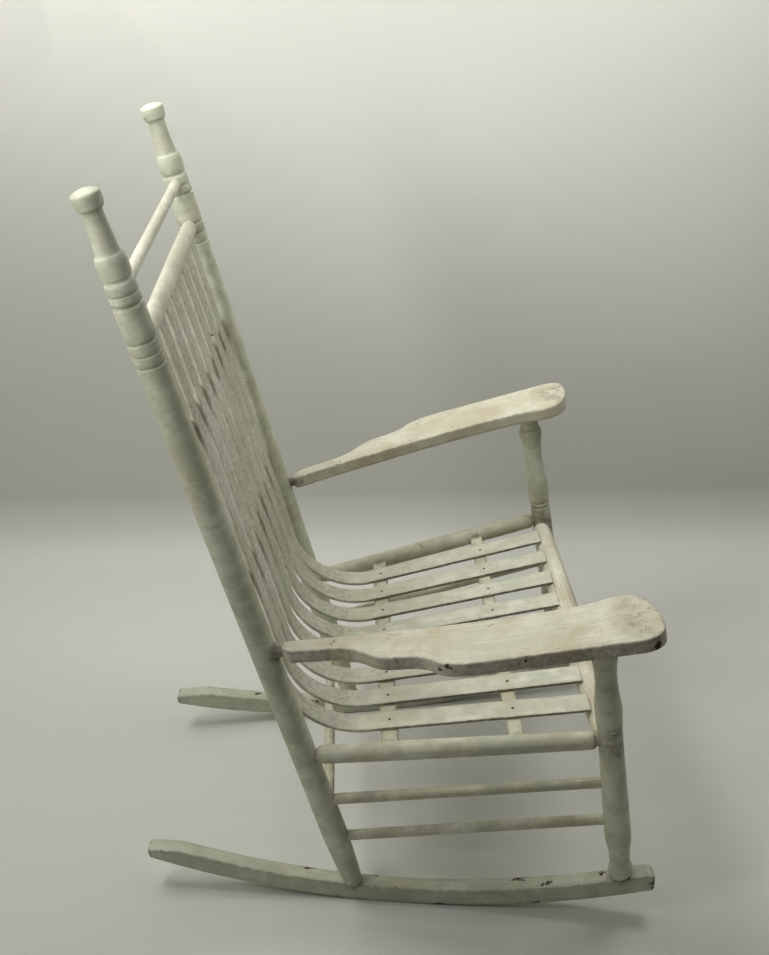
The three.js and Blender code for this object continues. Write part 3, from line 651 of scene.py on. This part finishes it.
def grow(name, tree, values):
    """Runs a geometry tree once and keeps the result as a plain mesh."""
    host = bpy.data.objects.new(name, bpy.data.meshes.new(name + "_seed"))
    bpy.context.scene.collection.objects.link(host)
    modifier = host.modifiers.new("grow", "NODES")
    modifier.node_group = tree
    for key, value in values.items():
        set_input(modifier, tree, key, value)
    depsgraph = bpy.context.evaluated_depsgraph_get()
    plain = bpy.data.meshes.new_from_object(host.evaluated_get(depsgraph))
    host.modifiers.remove(modifier)
    host.data = plain
    return host


def geometry_tree(name, inputs):
    tree = bpy.data.node_groups.new(name, "GeometryNodeTree")
    tree.interface.new_socket("Geometry", in_out="OUTPUT", socket_type="NodeSocketGeometry")
    for key, kind in inputs.items():
        tree.interface.new_socket(key, in_out="INPUT", socket_type=kind)
    entry = tree.nodes.new("NodeGroupInput")
    wires = {key: Wire(tree, entry.outputs[key]) for key in inputs}
    return tree, Bench(tree), wires


def finish_tree(tree, bench, geometry, material):
    real = bench.node("GeometryNodeRealizeInstances", None, {"Geometry": geometry})
    dressed = bench.node("GeometryNodeSetMaterial", None, {"Geometry": real, "Material": material})
    leave = tree.nodes.new("NodeGroupOutput")
    tree.links.new(dressed.socket, leave.inputs[0])


# %% [markdown]
# A slat is one strip of ash, steamed and bent where the seat turns up into the back. Its shape
# follows a rule: straight, then an arc, then straight again. The tree takes a fine block of the
# strip's true length and lays each point on that rule. Towards the front the slats fan out, so
# each one shifts sideways by its own share. One tree and eight offsets make the whole seat.

# %% The bent slat tree
SLAT_COUNT, SLAT_TOP, BEND_R = 8, 874, 102
MIDDLE_SLOT = (SLAT_COUNT - 1) / 2
# the slats' spacing in the back, and how much of it each millimetre towards the front adds
PITCH, FAN = 51.6, 0.0331


def bend_centre():
    """The point as far from the seat's face as from the back's: where the arc is struck from."""
    da = SEAT_UP.dot(on_seat(0)) + BEND_R
    db = BACK_FRONT.dot(on_back(0)) + BEND_R
    det = SEAT_UP.x * BACK_FRONT.z - SEAT_UP.z * BACK_FRONT.x
    return Vector(((da * BACK_FRONT.z - db * SEAT_UP.z) / det, 0,
                   (SEAT_UP.x * db - BACK_FRONT.x * da) / det))


CENTRE = bend_centre()
BEND_START = math.atan2(SEAT_UP.z, SEAT_UP.x)
BEND_TURN = BEND_START - math.atan2(BACK_FRONT.z, BACK_FRONT.x)
SEAT_LENGTH = (on_seat(SEAT_FRONT_X) - (CENTRE - SEAT_UP * BEND_R)).dot(SEAT_RUN)
BACK_LENGTH = (on_back(SLAT_TOP) - (CENTRE - BACK_FRONT * BEND_R)).dot(BACK_UP)
BEND_LENGTH = BEND_TURN * BEND_R
SLAT_LENGTH = SEAT_LENGTH + BEND_LENGTH + BACK_LENGTH
FAN_X = (CENTRE - SEAT_UP * BEND_R).x
print("slat length %.0f mm: seat %.0f, bend %.0f, back %.0f"
      % (SLAT_LENGTH, SEAT_LENGTH, BEND_LENGTH, BACK_LENGTH))

slat_tree, bench, wire = geometry_tree("bent_slat", {
    "Offset": "NodeSocketFloat", "Pitch": "NodeSocketFloat", "Fan": "NodeSocketFloat",
    "Width": "NodeSocketFloat", "Thickness": "NodeSocketFloat", "Unevenness": "NodeSocketFloat",
    "Material": "NodeSocketMaterial"})
size = bench.node("ShaderNodeCombineXYZ", None, {
    "X": SLAT_LENGTH * MM, "Y": wire["Width"], "Z": wire["Thickness"]})
block = bench.node("GeometryNodeMeshCube", None, {
    "Size": size, "Vertices X": 170, "Vertices Y": 7, "Vertices Z": 3}, out=None)
place = bench.node("GeometryNodeInputPosition")
split = bench.node("ShaderNodeSeparateXYZ", None, {0: place}, out=None)
along = Wire(slat_tree, split.outputs[0]) + SLAT_LENGTH * MM / 2
width_at = Wire(slat_tree, split.outputs[1])
rise = Wire(slat_tree, split.outputs[2]) - wire["Thickness"] / 2
seat_left = (SEAT_LENGTH * MM - along).at_least(0)
turn = ((along - SEAT_LENGTH * MM).at_least(0) / (BEND_R * MM)).at_most(BEND_TURN)
climb = (along - (SEAT_LENGTH + BEND_LENGTH) * MM).at_least(0)
angle = BEND_START - turn
drift = bench.node("ShaderNodeTexNoise", {"noise_dimensions": "2D"}, {
    "Vector": bench.node("ShaderNodeCombineXYZ", None, {"X": along * 9, "Y": wire["Offset"] * 7}),
    "Scale": 1.0, "Detail": 1.0}) - 0.5
reach = rise - BEND_R * MM + drift * wire["Unevenness"]
slat_x = CENTRE.x * MM + angle.cosine() * reach + SEAT_RUN.x * seat_left + BACK_UP.x * climb
slat_z = CENTRE.z * MM + angle.sine() * reach + SEAT_RUN.z * seat_left + BACK_UP.z * climb
fanned = wire["Fan"] * (slat_x - FAN_X * MM).at_least(0)
slat_y = width_at + wire["Offset"] * (wire["Pitch"] + fanned)
moved = bench.node("GeometryNodeSetPosition", None, {
    "Geometry": block.outputs["Mesh"],
    "Position": bench.node("ShaderNodeCombineXYZ", None, {"X": slat_x, "Y": slat_y, "Z": slat_z})})
finish_tree(slat_tree, bench, moved, wire["Material"])

# %% [markdown]
# Two small nails hold each slat, one over each seat batten. They repeat by rule, so a second tree
# sets a row of points across the seat, stands a domed head on each, and tilts it to the seat.

# %% The nail tree
nail_tree, bench, wire = geometry_tree("seat_nails", {
    "Count": "NodeSocketInt", "Head Radius": "NodeSocketFloat", "Head Height": "NodeSocketFloat",
    "Rear Pitch": "NodeSocketFloat", "Mid Pitch": "NodeSocketFloat", "Material": "NodeSocketMaterial"})
head = bench.node("GeometryNodeMeshUVSphere", None, {"Segments": 12, "Rings": 6, "Radius": 1.0})
domed = bench.node("GeometryNodeTransform", None, {
    "Geometry": head,
    "Scale": bench.node("ShaderNodeCombineXYZ", None, {
        "X": wire["Head Radius"], "Y": wire["Head Radius"], "Z": wire["Head Height"]})})
rows = []
for label, pitch in (("rear", wire["Rear Pitch"]), ("mid", wire["Mid Pitch"])):
    spot = on_seat(BATTENS[label][0], 0.1) * MM
    first = bench.node("ShaderNodeCombineXYZ", None, {
        "X": spot.x, "Y": pitch * -MIDDLE_SLOT, "Z": spot.z})
    gap = bench.node("ShaderNodeCombineXYZ", None, {"Y": pitch})
    row = bench.node("GeometryNodeMeshLine", None, {
        "Count": wire["Count"], "Start Location": first, "Offset": gap})
    rows.append(bench.node("GeometryNodeInstanceOnPoints", None, {
        "Points": row, "Instance": domed, "Rotation": (0, -SEAT_SLOPE, 0)}))
join = bench.node("GeometryNodeJoinGeometry", None, {}, out=None)
for row in rows:
    nail_tree.links.new(row.socket, join.inputs[0])
finish_tree(nail_tree, bench, join.outputs[0], wire["Material"])
print("trees:", [t.name for t in (slat_tree, nail_tree)])

# %% [markdown]
# The finish is the chair's story: several coats of ivory house paint over dark old varnish. The
# paint has yellowed, shows its brush marks, and is rubbed thin on edges. It is chipped through to
# near-black in patches, crackled where hands rest, and grimy in every joint. The same dark mix also
# paints shade: round the joints, on the arms' outer sides and undersides, and on the slats' sides
# and back faces. One recipe takes the amounts, and marks stored on the mesh say where the wear, the
# dirt and the painted shade fall.

# %% The old paint recipe
# how the brush marks are stretched: round a turned post, or along a board
AROUND, ALONG = (18.0, 330.0, 1.0), (330.0, 9.0, 1.0)


def old_paint(name, lit, deep, stain, stain_amount=0.3, brush=1.0, speckle=0.5, way=ALONG):
    material = bpy.data.materials.new(name)
    material.use_nodes = True
    tree = material.node_tree
    tree.nodes.clear()
    bench = Bench(tree)
    spot = bench.node("ShaderNodeTexCoord", None, {}, out=3)
    grain = bench.node("ShaderNodeUVMap", {"uv_map": "grain"})
    stroke = bench.node("ShaderNodeMapping", None, {"Vector": grain, "Scale": way})
    ridge = bench.node("ShaderNodeMapping", None, {
        "Vector": grain, "Scale": tuple(3 * c for c in way)})

    def noise(vector, scale, detail=3.0, rough=0.55):
        return bench.node("ShaderNodeTexNoise", None, {
            "Vector": vector, "Scale": scale, "Detail": detail, "Roughness": rough})

    def mark(attribute):
        return bench.node("ShaderNodeAttribute", {"attribute_name": attribute}, {}, out=2)

    def mix(factor, a, b):
        return bench.node("ShaderNodeMix", {"data_type": "RGBA"}, {0: factor, 6: a, 7: b}, out=2)

    edge, grime_and_shade, chip, crackle = mark("edge"), mark("grime_and_shade"), mark("chip"), mark("crackle")
    cloud, mottle, fine = noise(spot, 6.0), noise(spot, 42.0, 4.0), noise(spot, 420.0, 2.0)
    strokes, ridges = noise(stroke, 1.0, 3.0, 0.62), noise(ridge, 1.0, 2.0, 0.6)

    tone = (cloud * 0.4 + mottle * (0.6 - 0.3 * brush) + strokes * (0.3 * brush)).step(0.41, 0.60)
    colour = mix(tone, (*deep, 1), (*lit, 1))
    blush = noise(spot, 14.0, 6.0, 0.68).step(0.42, 0.66) * (1.25 * stain_amount)
    colour = mix(blush, colour, (*stain, 1))
    streak = (ridges.step(0.52, 0.74) * mottle.step(0.42, 0.62)) * (0.26 * brush)
    colour = mix(streak, colour, tuple(0.55 * c for c in stain) + (1,))
    handled = (crackle * noise(spot, 30.0, 4.0).step(0.32, 0.62)).kept() * 0.55
    colour = mix(handled, colour, tuple(0.68 * c for c in stain) + (1,))
    pale = strokes.step(0.54, 0.70) * noise(spot, 25.0).step(0.45, 0.6) * 0.35
    colour = mix(pale, colour, tuple(min(0.86, 1.22 * c) for c in lit) + (1,))
    soil = noise(spot, 140.0, 5.0, 0.7)
    rubbed = (edge * (0.4 + mottle) * noise(spot, 90.0).step(0.38, 0.56)).kept() * 0.75
    colour = mix(rubbed, colour, tuple(0.36 * c for c in stain) + (1,))
    # a dark mix from the grime-and-shade mark and soil noise: real dirt, and painted shade where the
    # mark was set for faces turned from the lamps
    dirt_and_shade = ((grime_and_shade * 1.25 - 0.55 + soil * 1.1 + mottle * 0.4 - 0.55).step(0.0, 0.9) * 0.8).kept()
    colour = mix(dirt_and_shade, colour, (0.075, 0.062, 0.036, 1))

    flakes = noise(spot, 190.0, 5.0, 0.62) * 0.55 + noise(spot, 46.0, 3.0) * 0.45
    torn = (flakes + chip * 0.20 + edge * 0.05 * speckle).step(0.662, 0.672)
    specks = bench.node("ShaderNodeTexVoronoi", {"feature": "F1"}, {"Vector": spot, "Scale": 190.0})
    gate = noise(spot, 22.0, 2.0).step(0.50, 0.66) * speckle
    dots = (1 - specks.step(0.08, 0.15)) * gate
    hair = bench.node("ShaderNodeTexVoronoi", {"feature": "DISTANCE_TO_EDGE"}, {
        "Vector": spot, "Scale": 430.0})
    lines = (1 - hair.step(0.02, 0.16)) * crackle * noise(spot, 70.0, 4.0).step(0.48, 0.60)
    bare = (torn + dots * 0.9).kept()
    colour = mix((lines * 0.8).kept(), colour, (0.10, 0.07, 0.035, 1))
    ground = mix(noise(spot, 300.0), (0.016, 0.011, 0.007, 1), (0.075, 0.05, 0.03, 1))
    colour = mix(bare, colour, ground)

    rough = 0.44 + mottle * 0.18 + bare * 0.2 + dirt_and_shade * 0.2
    height = ridges * 0.00022 * brush + strokes * 0.00022 * brush + fine * 0.00004
    height = height + cloud * 0.0005 - bare * 0.0004 - lines * 0.00018
    bump = bench.node("ShaderNodeBump", None, {"Height": height, "Distance": 1.0, "Strength": 0.8})
    shell = bench.node("ShaderNodeBsdfPrincipled", None, {
        "Base Color": colour, "Roughness": rough, "Normal": bump}, out=None)
    shell.inputs["Specular IOR Level"].default_value = 0.4
    shell.inputs["Coat Weight"].default_value = 0.08
    shell.inputs["Coat Roughness"].default_value = 0.35
    leave = tree.nodes.new("ShaderNodeOutputMaterial")
    tree.links.new(shell.outputs[0], leave.inputs[0])
    return material


POST_PAINT = old_paint("post_paint", (0.68, 0.70, 0.545), (0.49, 0.51, 0.37), (0.47, 0.42, 0.27),
                       stain_amount=0.22, brush=0.35, way=AROUND)
RAIL_PAINT = old_paint("rail_paint", (0.68, 0.685, 0.53), (0.47, 0.48, 0.35), (0.47, 0.39, 0.24),
                       stain_amount=0.38, brush=0.45)
SLAT_PAINT = old_paint("slat_paint", (0.74, 0.74, 0.61), (0.54, 0.55, 0.43), (0.55, 0.47, 0.32),
                       stain_amount=0.30, brush=0.7)
ARM_PAINT = old_paint("arm_paint", (0.74, 0.71, 0.575), (0.58, 0.56, 0.43), (0.50, 0.425, 0.28),
                      stain_amount=0.55, brush=1.0, speckle=0.8)
ROCKER_PAINT = old_paint("rocker_paint", (0.57, 0.59, 0.46), (0.42, 0.44, 0.33), (0.38, 0.35, 0.23),
                         stain_amount=0.30, brush=0.6, speckle=1.1)
NAIL_PAINT = old_paint("nail_paint", (0.30, 0.26, 0.19), (0.10, 0.075, 0.05), (0.20, 0.11, 0.05),
                       stain_amount=0.6, brush=0.2)
print("paints:", [p.name for p in bpy.data.materials if p.name.endswith("_paint")])

# %% [markdown]
# With the paints mixed, both trees can run. A tree's result is kept as a plain mesh. The strips then
# lose their doubled points and get their sharp corners rubbed off, and a UV map that runs along the
# bend, so the brush marks follow it.

# %% Grow the slats and nails
SLATS = []
for i in range(SLAT_COUNT):
    strip = grow(f"slat_wood_{i + 1}", slat_tree, {
        "Offset": i - MIDDLE_SLOT, "Pitch": PITCH * MM, "Fan": FAN, "Width": SLAT_WIDE * MM,
        "Thickness": SLAT_THICK * MM, "Unevenness": 0.0012, "Material": SLAT_PAINT})
    edit = bmesh.new()
    edit.from_mesh(strip.data)
    bmesh.ops.remove_doubles(edit, verts=edit.verts, dist=1e-6)
    sharp = [e for e in edit.edges if e.calc_face_angle(0) > rad(60)]
    bmesh.ops.bevel(edit, geom=sharp, offset=0.0009, segments=2, affect="EDGES", profile=0.6)
    bmesh.ops.recalc_face_normals(edit, faces=edit.faces)
    edit.to_mesh(strip.data)
    edit.free()
    SLATS.append(strip)
nails = grow("seat_nail_heads", nail_tree, {
    "Count": SLAT_COUNT, "Head Radius": 0.0022, "Head Height": 0.0009,
    "Rear Pitch": (PITCH + FAN * (BATTENS["rear"][0] - FAN_X)) * MM,
    "Mid Pitch": (PITCH + FAN * (BATTENS["mid"][0] - FAN_X)) * MM, "Material": NAIL_PAINT})
print("slats", len(SLATS), "faces each", len(SLATS[0].data.polygons),
      "nail faces", len(nails.data.polygons))


def slat_grain(strip):
    """A UV map for a bent strip: across it, and along its straight, arc and straight."""
    layer = strip.data.uv_layers.get("grain") or strip.data.uv_layers.new(name="grain")
    spots = []
    for v in strip.data.vertices:
        p = v.co / MM - Vector((CENTRE.x, 0, CENTRE.z))
        a = BEND_START - math.atan2(-p.z, -p.x)
        if p.dot(SEAT_RUN) > 0:
            run = SEAT_LENGTH - p.dot(SEAT_RUN)
        elif p.dot(BACK_UP) > 0:
            run = SEAT_LENGTH + BEND_LENGTH + p.dot(BACK_UP)
        else:
            run = SEAT_LENGTH + a * BEND_R
        spots.append((v.co.y, run * MM))
    for loop, data in zip(strip.data.loops, layer.data):
        data.uv = spots[loop.vertex_index]


for strip in SLATS:
    slat_grain(strip)
    shade_smooth(strip.data, 50)
shade_smooth(nails.data, 60)
if "grain" not in nails.data.uv_layers:
    nails.data.uv_layers.new(name="grain")

# %% [markdown]
# Wear and dirt go where use puts them, and painted shade where the lamps reach least. A mark is a
# number stored on each point of a mesh. Edge comes from how sharply the surface turns outward. The
# grime-and-shade mark darkens round every joint as dirt and painted shade; on the arms' outer sides
# and undersides it is painted shade with some grime, and on the seat strips' edges and over the back
# strips' faces it is painted shade. Chips fall where shoes and floors strike, and crackle where the
# sitter's hands rest.

# %% Marks for wear, dirt and painted shade
def put_mark(piece, name, values):
    layer = piece.data.attributes.get(name) or piece.data.attributes.new(name, "FLOAT", "POINT")
    layer.data.foreach_set("value", values)


def edge_mark(piece):
    edit = bmesh.new()
    edit.from_mesh(piece.data)
    values = []
    for v in edit.verts:
        turns = [e.calc_face_angle_signed(0) for e in v.link_edges if len(e.link_faces) == 2]
        # a turn of 0.12 radians is still flat, and 0.75 is a full corner
        values.append(min(1.0, max(0.0, (max(turns, default=0) - 0.12) * 1.6)))
    edit.free()
    put_mark(piece, "edge", values)


def near(point, spots):
    """How strongly a point lies in a list of (centre, reach along X, Y and Z, amount) spots."""
    best = 0.0
    for centre, reach, amount in spots:
        if not hasattr(reach, "__len__"):
            reach = (reach, reach, reach)
        d2 = sum(((p - c) / r) ** 2 for p, c, r in zip(point, centre, reach))
        if d2 < 1:
            best = max(best, amount * (1 - d2))
    return best


# spots round every joint and scored ring; the dark mix they drive is dirt and painted shade where parts
# meet
def joint_spots():
    spots = []
    for side in SIDES.values():
        rear, front = REAR[side], FRONT[side]
        for height, reach in ((SEAT_RAIL_Z[0], 25), (UPPER_RUNG_Z[0], 16),
                              (LOWER_RUNG_Z[0], 16), (REAR_RUNG_Z, 16)):
            spots.append((rear.at_height(height), reach, 0.9))
        for height, reach in ((round(SEAT_RAIL_Z[1]), 27), (UPPER_RUNG_Z[1], 16),
                              (LOWER_RUNG_Z[1], 16), (FRONT_RAIL_Z, 26)):
            spots.append((front.at_height(height), reach, 0.95))
        for at, reach in ((BACK_RAIL_AT, 21), (CREST_AT, 19),
                          (BACK_BATTENS["upper"], 22), (BACK_BATTENS["lower"], 22)):
            spots.append((rear.along(at), reach, 0.6))
        spots.append((rear.foot, 21, 0.9))
        spots.append((front.foot, 22, 0.95))
        spots.append((arm_point(17, side * 227, 0), 21, 1.0))
        spots.append((front.along(front_length(side)), 21, 0.8))
        for x, _ in BATTENS.values():
            middle = on_seat(x, -12)
            spots.append((Vector((middle.x, side * (rail_gap(x) - 10), middle.z)), 19, 0.85))
        # a little dirt and painted shade lie in each scored ring
        for below_top in (190, 176, 161, 118, 87):
            spots.append((rear.along(REAR_POST_LENGTH - below_top), 19.5, 0.15))
    return spots


JOINTS = joint_spots()
WIDE, SMALL, LONG = (20, 7, 9), (9, 5, 7), (60, 5, 6)
# each chip is a place, its reach and how deep it bites; a rocker's Y counts out from its middle line
CHIPS = {
    "rocker": [
        ((176, -9, 41), WIDE, 1.15), ((213, 4, 49), (18, 7, 9), 1.3), ((256, 7, 58), SMALL, 0.8),
        ((-26, -10, 29), SMALL, 0.9), ((27, 2, 29), SMALL, 0.8), ((55, 6, 30), SMALL, 0.6),
        ((-123, -10, 36), WIDE, 0.75), ((-150, 4, 40), SMALL, 0.7), ((-231, 4, 53), WIDE, 0.65),
        ((288, -6, 66), SMALL, 0.8), ((-352, 8, 64), (12, 12, 12), 0.7),
        ((356, 10, 66), (9, 12, 14), 0.9), ((-290, 9, 55), (50, 8, 12), 0.45),
        ((70, 11, 3), LONG, 0.8), ((-70, 11, 5), LONG, 0.7),
        ((-180, 11, 16), LONG, 0.6), ((190, 11, 20), LONG, 0.55)],
    "arm": [
        ((53, 335, 506), (8, 8, 6), 1.15), ((43, 327, 498), (9, 8, 5), 1.1),
        ((87, 343, 512), (6, 6, 5), 0.8), ((130, 348, 514), (9, 6, 5), 1.0),
        ((139, 349, 522), (5, 6, 5), 0.9), ((179, 354, 526), (5, 6, 5), 0.9),
        ((288, 361, 550), (11, 12, 12), 1.2), ((108, 277, 522), (5, 5, 5), 0.9),
        ((215, 356, 530), (80, 8, 10), 0.4), ((-79, 247, 480), (25, 15, 8), 0.6)],
}


def chip_spots(kind, side):
    spots = []
    for (x, y, z), reach, amount in CHIPS[kind]:
        if kind == "rocker":
            y += rocker_y(x)
        spots.append((Vector((x, side * y, z)), reach, amount))
    return spots


def mark_piece(piece, chips=(), crackle=()):
    edge_mark(piece)
    points = [v.co / MM for v in piece.data.vertices]
    # round the joints the dark mix is dirt and painted shade together
    grime_and_shade = [near(p, JOINTS) for p in points]
    if piece.name.startswith("arm_wood"):
        # the arms' outer sides and undersides get painted shade, with some grime
        for i, v in enumerate(piece.data.vertices):
            outward = v.normal.y * (1 if v.co.y > 0 else -1)
            grime_and_shade[i] = max(grime_and_shade[i], 0.62 * max(0.0, outward) ** 2,
                           0.4 * max(0.0, -v.normal.z))
    if piece.name.startswith("slat_wood"):
        for i, v in enumerate(piece.data.vertices):
            # seat strips get painted shade on their side faces, back strips painted shade over their
            # front faces
            on_the_back = min(1.0, max(0.0, (FAN_X + 20 - points[i].x) / 60))
            edge_on = v.normal.y ** 2
            grime_and_shade[i] = max(grime_and_shade[i], 0.8 * edge_on * (1 - on_the_back),
                           0.52 * (1 - edge_on) * on_the_back)
    put_mark(piece, "grime_and_shade", grime_and_shade)
    put_mark(piece, "chip", [near(p, chips) for p in points])
    put_mark(piece, "crackle", [near(p, crackle) for p in points])


# %% [markdown]
# Last, each piece gets its paint and its marks, and the wooden part of the CAD model that it stands
# for is hidden. Nothing on this chair moves against anything else, so every piece rides on one body.

# %% Dress every piece
def dress(piece, paint, nodes, chips=(), crackle=()):
    piece.data.materials.clear()
    piece.data.materials.append(paint)
    mark_piece(piece, chips, crackle)
    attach(piece, "root")
    if nodes:
        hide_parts(*nodes)


made = bpy.data.objects
for label, side in SIDES.items():
    hand = arm_point(ARM_TIP - 45, side * 318, ARM_THICK / 2)
    crack = [(hand + ARM_RUN * 30, 52, 1.0), (FRONT[side].at_height(352), 40, 1.0)]
    dress(made[f"rocker_wood_{label}"], ROCKER_PAINT, [f"rocker_{label}"],
          chip_spots("rocker", side))
    button = [(REAR[side].along(REAR_POST_LENGTH - 4) + Vector((-8, 0, 0)), 14, 0.75)]
    dress(made[f"rear_post_wood_{label}"], POST_PAINT, [f"rear_post_{label}"],
          button)
    dress(made[f"front_post_wood_{label}"], POST_PAINT, [f"front_post_{label}"],
          crackle=crack)
    dress(made[f"side_rail_wood_{label}"], RAIL_PAINT,
          [f"side_seat_rail_{label}"], crackle=crack)
    for row in ("upper", "lower"):
        dress(made[f"{row}_side_rung_{label}"], RAIL_PAINT,
              [f"{row}_side_stretcher_{label}"])
    dress(made[f"arm_wood_{label}"], ARM_PAINT, [f"arm_{label}"],
          chip_spots("arm", side), crack)
    dress(made[f"arm_peg_{label}"], ARM_PAINT, [])
dress(made["rear_rung"], RAIL_PAINT, ["rear_stretcher"])
dress(made["crest_dowel_wood"], SLAT_PAINT, ["crest_dowel"])
dress(made["upper_back_rail_wood"], SLAT_PAINT, ["upper_back_rail"])
dress(made["front_rail_wood"], ARM_PAINT, ["front_seat_rail"])
for label in BATTENS:
    dress(made[f"{label}_seat_batten_wood"], RAIL_PAINT, [f"{label}_seat_batten"])
for label in BACK_BATTENS:
    dress(made[f"{label}_back_batten_wood"], RAIL_PAINT, [f"{label}_back_batten"])
for i, strip in enumerate(SLATS):
    dress(strip, SLAT_PAINT, [f"slat_{i + 1}"])
dress(nails, NAIL_PAINT,
      [f"{label}_nail_{i + 1}" for label in BATTENS for i in range(SLAT_COUNT)])
print("pieces dressed:", len([o for o in made if o.type == "MESH"]) - len(frame["nodes"]))

# %% [markdown]
# The studio is a pale paper sweep: floor, a gentle curve, then wall. The wall part of the paper is
# painted darker than the floor, a painted shade. Two soft lamps high on the left make the tops bright
# and let the near sides fall into shade, and three weaker ones fill that shade. Two more, with two
# spots, wash the wall, and a third spot picks out the tops of the posts. The wall is clear from
# behind, so the chair can be looked at from every side.

# %% Studio
FLOOR_EDGE, SWEEP_R = 0.68, 0.12
PAPER_NEAR, PAPER_HALF, PAPER_TOP = -9.0, 8.0, 5.0
LAMP_WHITE = (1.0, 1.0, 0.985)


def sweep():
    profile = [(PAPER_NEAR, 0.0), (FLOOR_EDGE, 0.0)]
    profile += [(FLOOR_EDGE + SWEEP_R * math.sin(rad(5 * k)), SWEEP_R - SWEEP_R * math.cos(rad(5 * k)))
                for k in range(1, 19)]
    profile.append((FLOOR_EDGE + SWEEP_R, PAPER_TOP))
    points = [(x, y, z) for y, z in profile for x in (-PAPER_HALF, PAPER_HALF)]
    faces = [(2 * i, 2 * i + 1, 2 * i + 3, 2 * i + 2) for i in range(len(profile) - 1)]
    mesh = bpy.data.meshes.new("paper_sweep")
    mesh.from_pydata(points, [], faces)
    mesh.polygons.foreach_set("use_smooth", [True] * len(mesh.polygons))
    paper = bpy.data.objects.new("paper_sweep", mesh)
    bpy.context.scene.collection.objects.link(paper)
    material = bpy.data.materials.new("pale_paper")
    material.use_nodes = True
    tree = material.node_tree
    tree.nodes.clear()
    bench = Bench(tree)
    spot = bench.node("ShaderNodeTexCoord", None, {}, out=3)
    height = bench.node("ShaderNodeSeparateXYZ", None, {0: spot}, out=2)
    # the wall part of the paper is given a darker colour than the floor: painted shade
    painted_wall_shade = height.step(0.0, 0.06)
    mottle = bench.node("ShaderNodeTexNoise", None, {"Vector": spot, "Scale": 2.2, "Detail": 3.0})
    paper_tone_and_wall_shade = bench.node("ShaderNodeMix", {"data_type": "RGBA"}, {
        0: (painted_wall_shade + (mottle - 0.5) * 0.35).kept(),
        6: (0.64, 0.635, 0.585, 1), 7: (0.545, 0.54, 0.49, 1)}, out=2)
    shell = bench.node("ShaderNodeBsdfPrincipled", None, {
        "Base Color": paper_tone_and_wall_shade, "Roughness": mottle * 0.1 + 0.8}, out=None)
    shell.inputs["Specular IOR Level"].default_value = 0.2
    # the back of the paper is clear
    behind = bench.node("ShaderNodeNewGeometry", None, {}, out=6)
    clear = bench.node("ShaderNodeBsdfTransparent")
    either = bench.node("ShaderNodeMixShader", None, {0: behind, 1: shell.outputs[0], 2: clear})
    leave = tree.nodes.new("ShaderNodeOutputMaterial")
    tree.links.new(either.socket, leave.inputs[0])
    mesh.materials.append(material)
    return paper


sweep()


def aim_lamp(data, at, aim):
    lamp = bpy.data.objects.new(data.name, data)
    lamp.location = at
    lamp.rotation_euler = (Vector(aim) - Vector(at)).to_track_quat("-Z", "Y").to_euler()
    bpy.context.scene.collection.objects.link(lamp)


def soft_light(name, at, aim, size, power):
    data = bpy.data.lights.new(name, "AREA")
    data.shape, data.size, data.energy, data.color = "DISK", size, power, LAMP_WHITE
    aim_lamp(data, at, aim)


def spot_light(name, at, aim, cone, power):
    data = bpy.data.lights.new(name, "SPOT")
    data.spot_size, data.spot_blend, data.shadow_soft_size = rad(cone), 1.0, 0.3
    data.energy, data.color = power, LAMP_WHITE
    aim_lamp(data, at, aim)


spot_light("wash_left", (-1.1, 0.1, 1.6), (-0.75, 0.8, 1.15), 50, 15)
spot_light("wash_middle", (-1.1, 0.1, 1.6), (-0.2, 0.8, 1.35), 66, 58)
spot_light("post_tops", (-1.1, -1.2, 1.15), (-0.33, -0.1, 1.0), 26, 55)
soft_light("high_left", (-0.85, -0.2, 1.85), (-0.1, -0.05, 0.5), 0.4, 5.8)
soft_light("high_back", (-0.6, 0.45, 1.8), (0.0, 0.0, 0.4), 0.4, 1.8)
soft_light("near_top", (-1.05, -0.75, 1.45), (-0.3, -0.2, 0.98), 0.4, 4.5)
soft_light("near_left", (-1.4, -1.6, 1.9), (0.0, 0.0, 0.5), 0.8, 2.8)
soft_light("near_right", (1.8, -0.5, 1.9), (0.0, 0.0, 0.45), 1.2, 2.6)
soft_light("wall_bounce_left", (-0.9, 0.2, 1.9), (-0.5, 0.8, 1.2), 0.8, 8.5)
soft_light("wall_bounce_right", (0.6, 0.2, 1.9), (0.6, 0.8, 1.2), 0.8, 12)
world = bpy.data.worlds.new("studio_air")
world.use_nodes = True
world.node_tree.nodes["Background"].inputs[0].default_value = (0.94, 0.96, 0.93, 1)
world.node_tree.nodes["Background"].inputs[1].default_value = 0.035
bpy.context.scene.world = world
bpy.context.scene.view_settings.view_transform = "Standard"
print("lamps:", [lamp.name for lamp in bpy.data.lights])

# %% [markdown]
# The camera stands at a grown person's eye height, a step away from the chair's right side. It is
# turned a little to the right and looks well down, which shows the seat and both arms from above.

# %% Camera
YAW, TILT = 0.0352, 0.4892  # radians to the right, and down
lens = bpy.data.cameras.new("eye_height")
lens.sensor_fit, lens.sensor_height = "VERTICAL", 24
lens.lens = 28.90
lens.clip_end = 50
camera = bpy.data.objects.new("eye_height", lens)
camera.location = (-0.060, -1.413, 1.332)
look = Vector((math.sin(YAW) * math.cos(TILT), math.cos(YAW) * math.cos(TILT), -math.sin(TILT)))
camera.rotation_euler = look.to_track_quat("-Z", "Y").to_euler()
bpy.context.scene.collection.objects.link(camera)
bpy.context.scene.camera = camera
print("camera at", tuple(round(v, 3) for v in camera.location), "lens", round(lens.lens, 1), "mm")
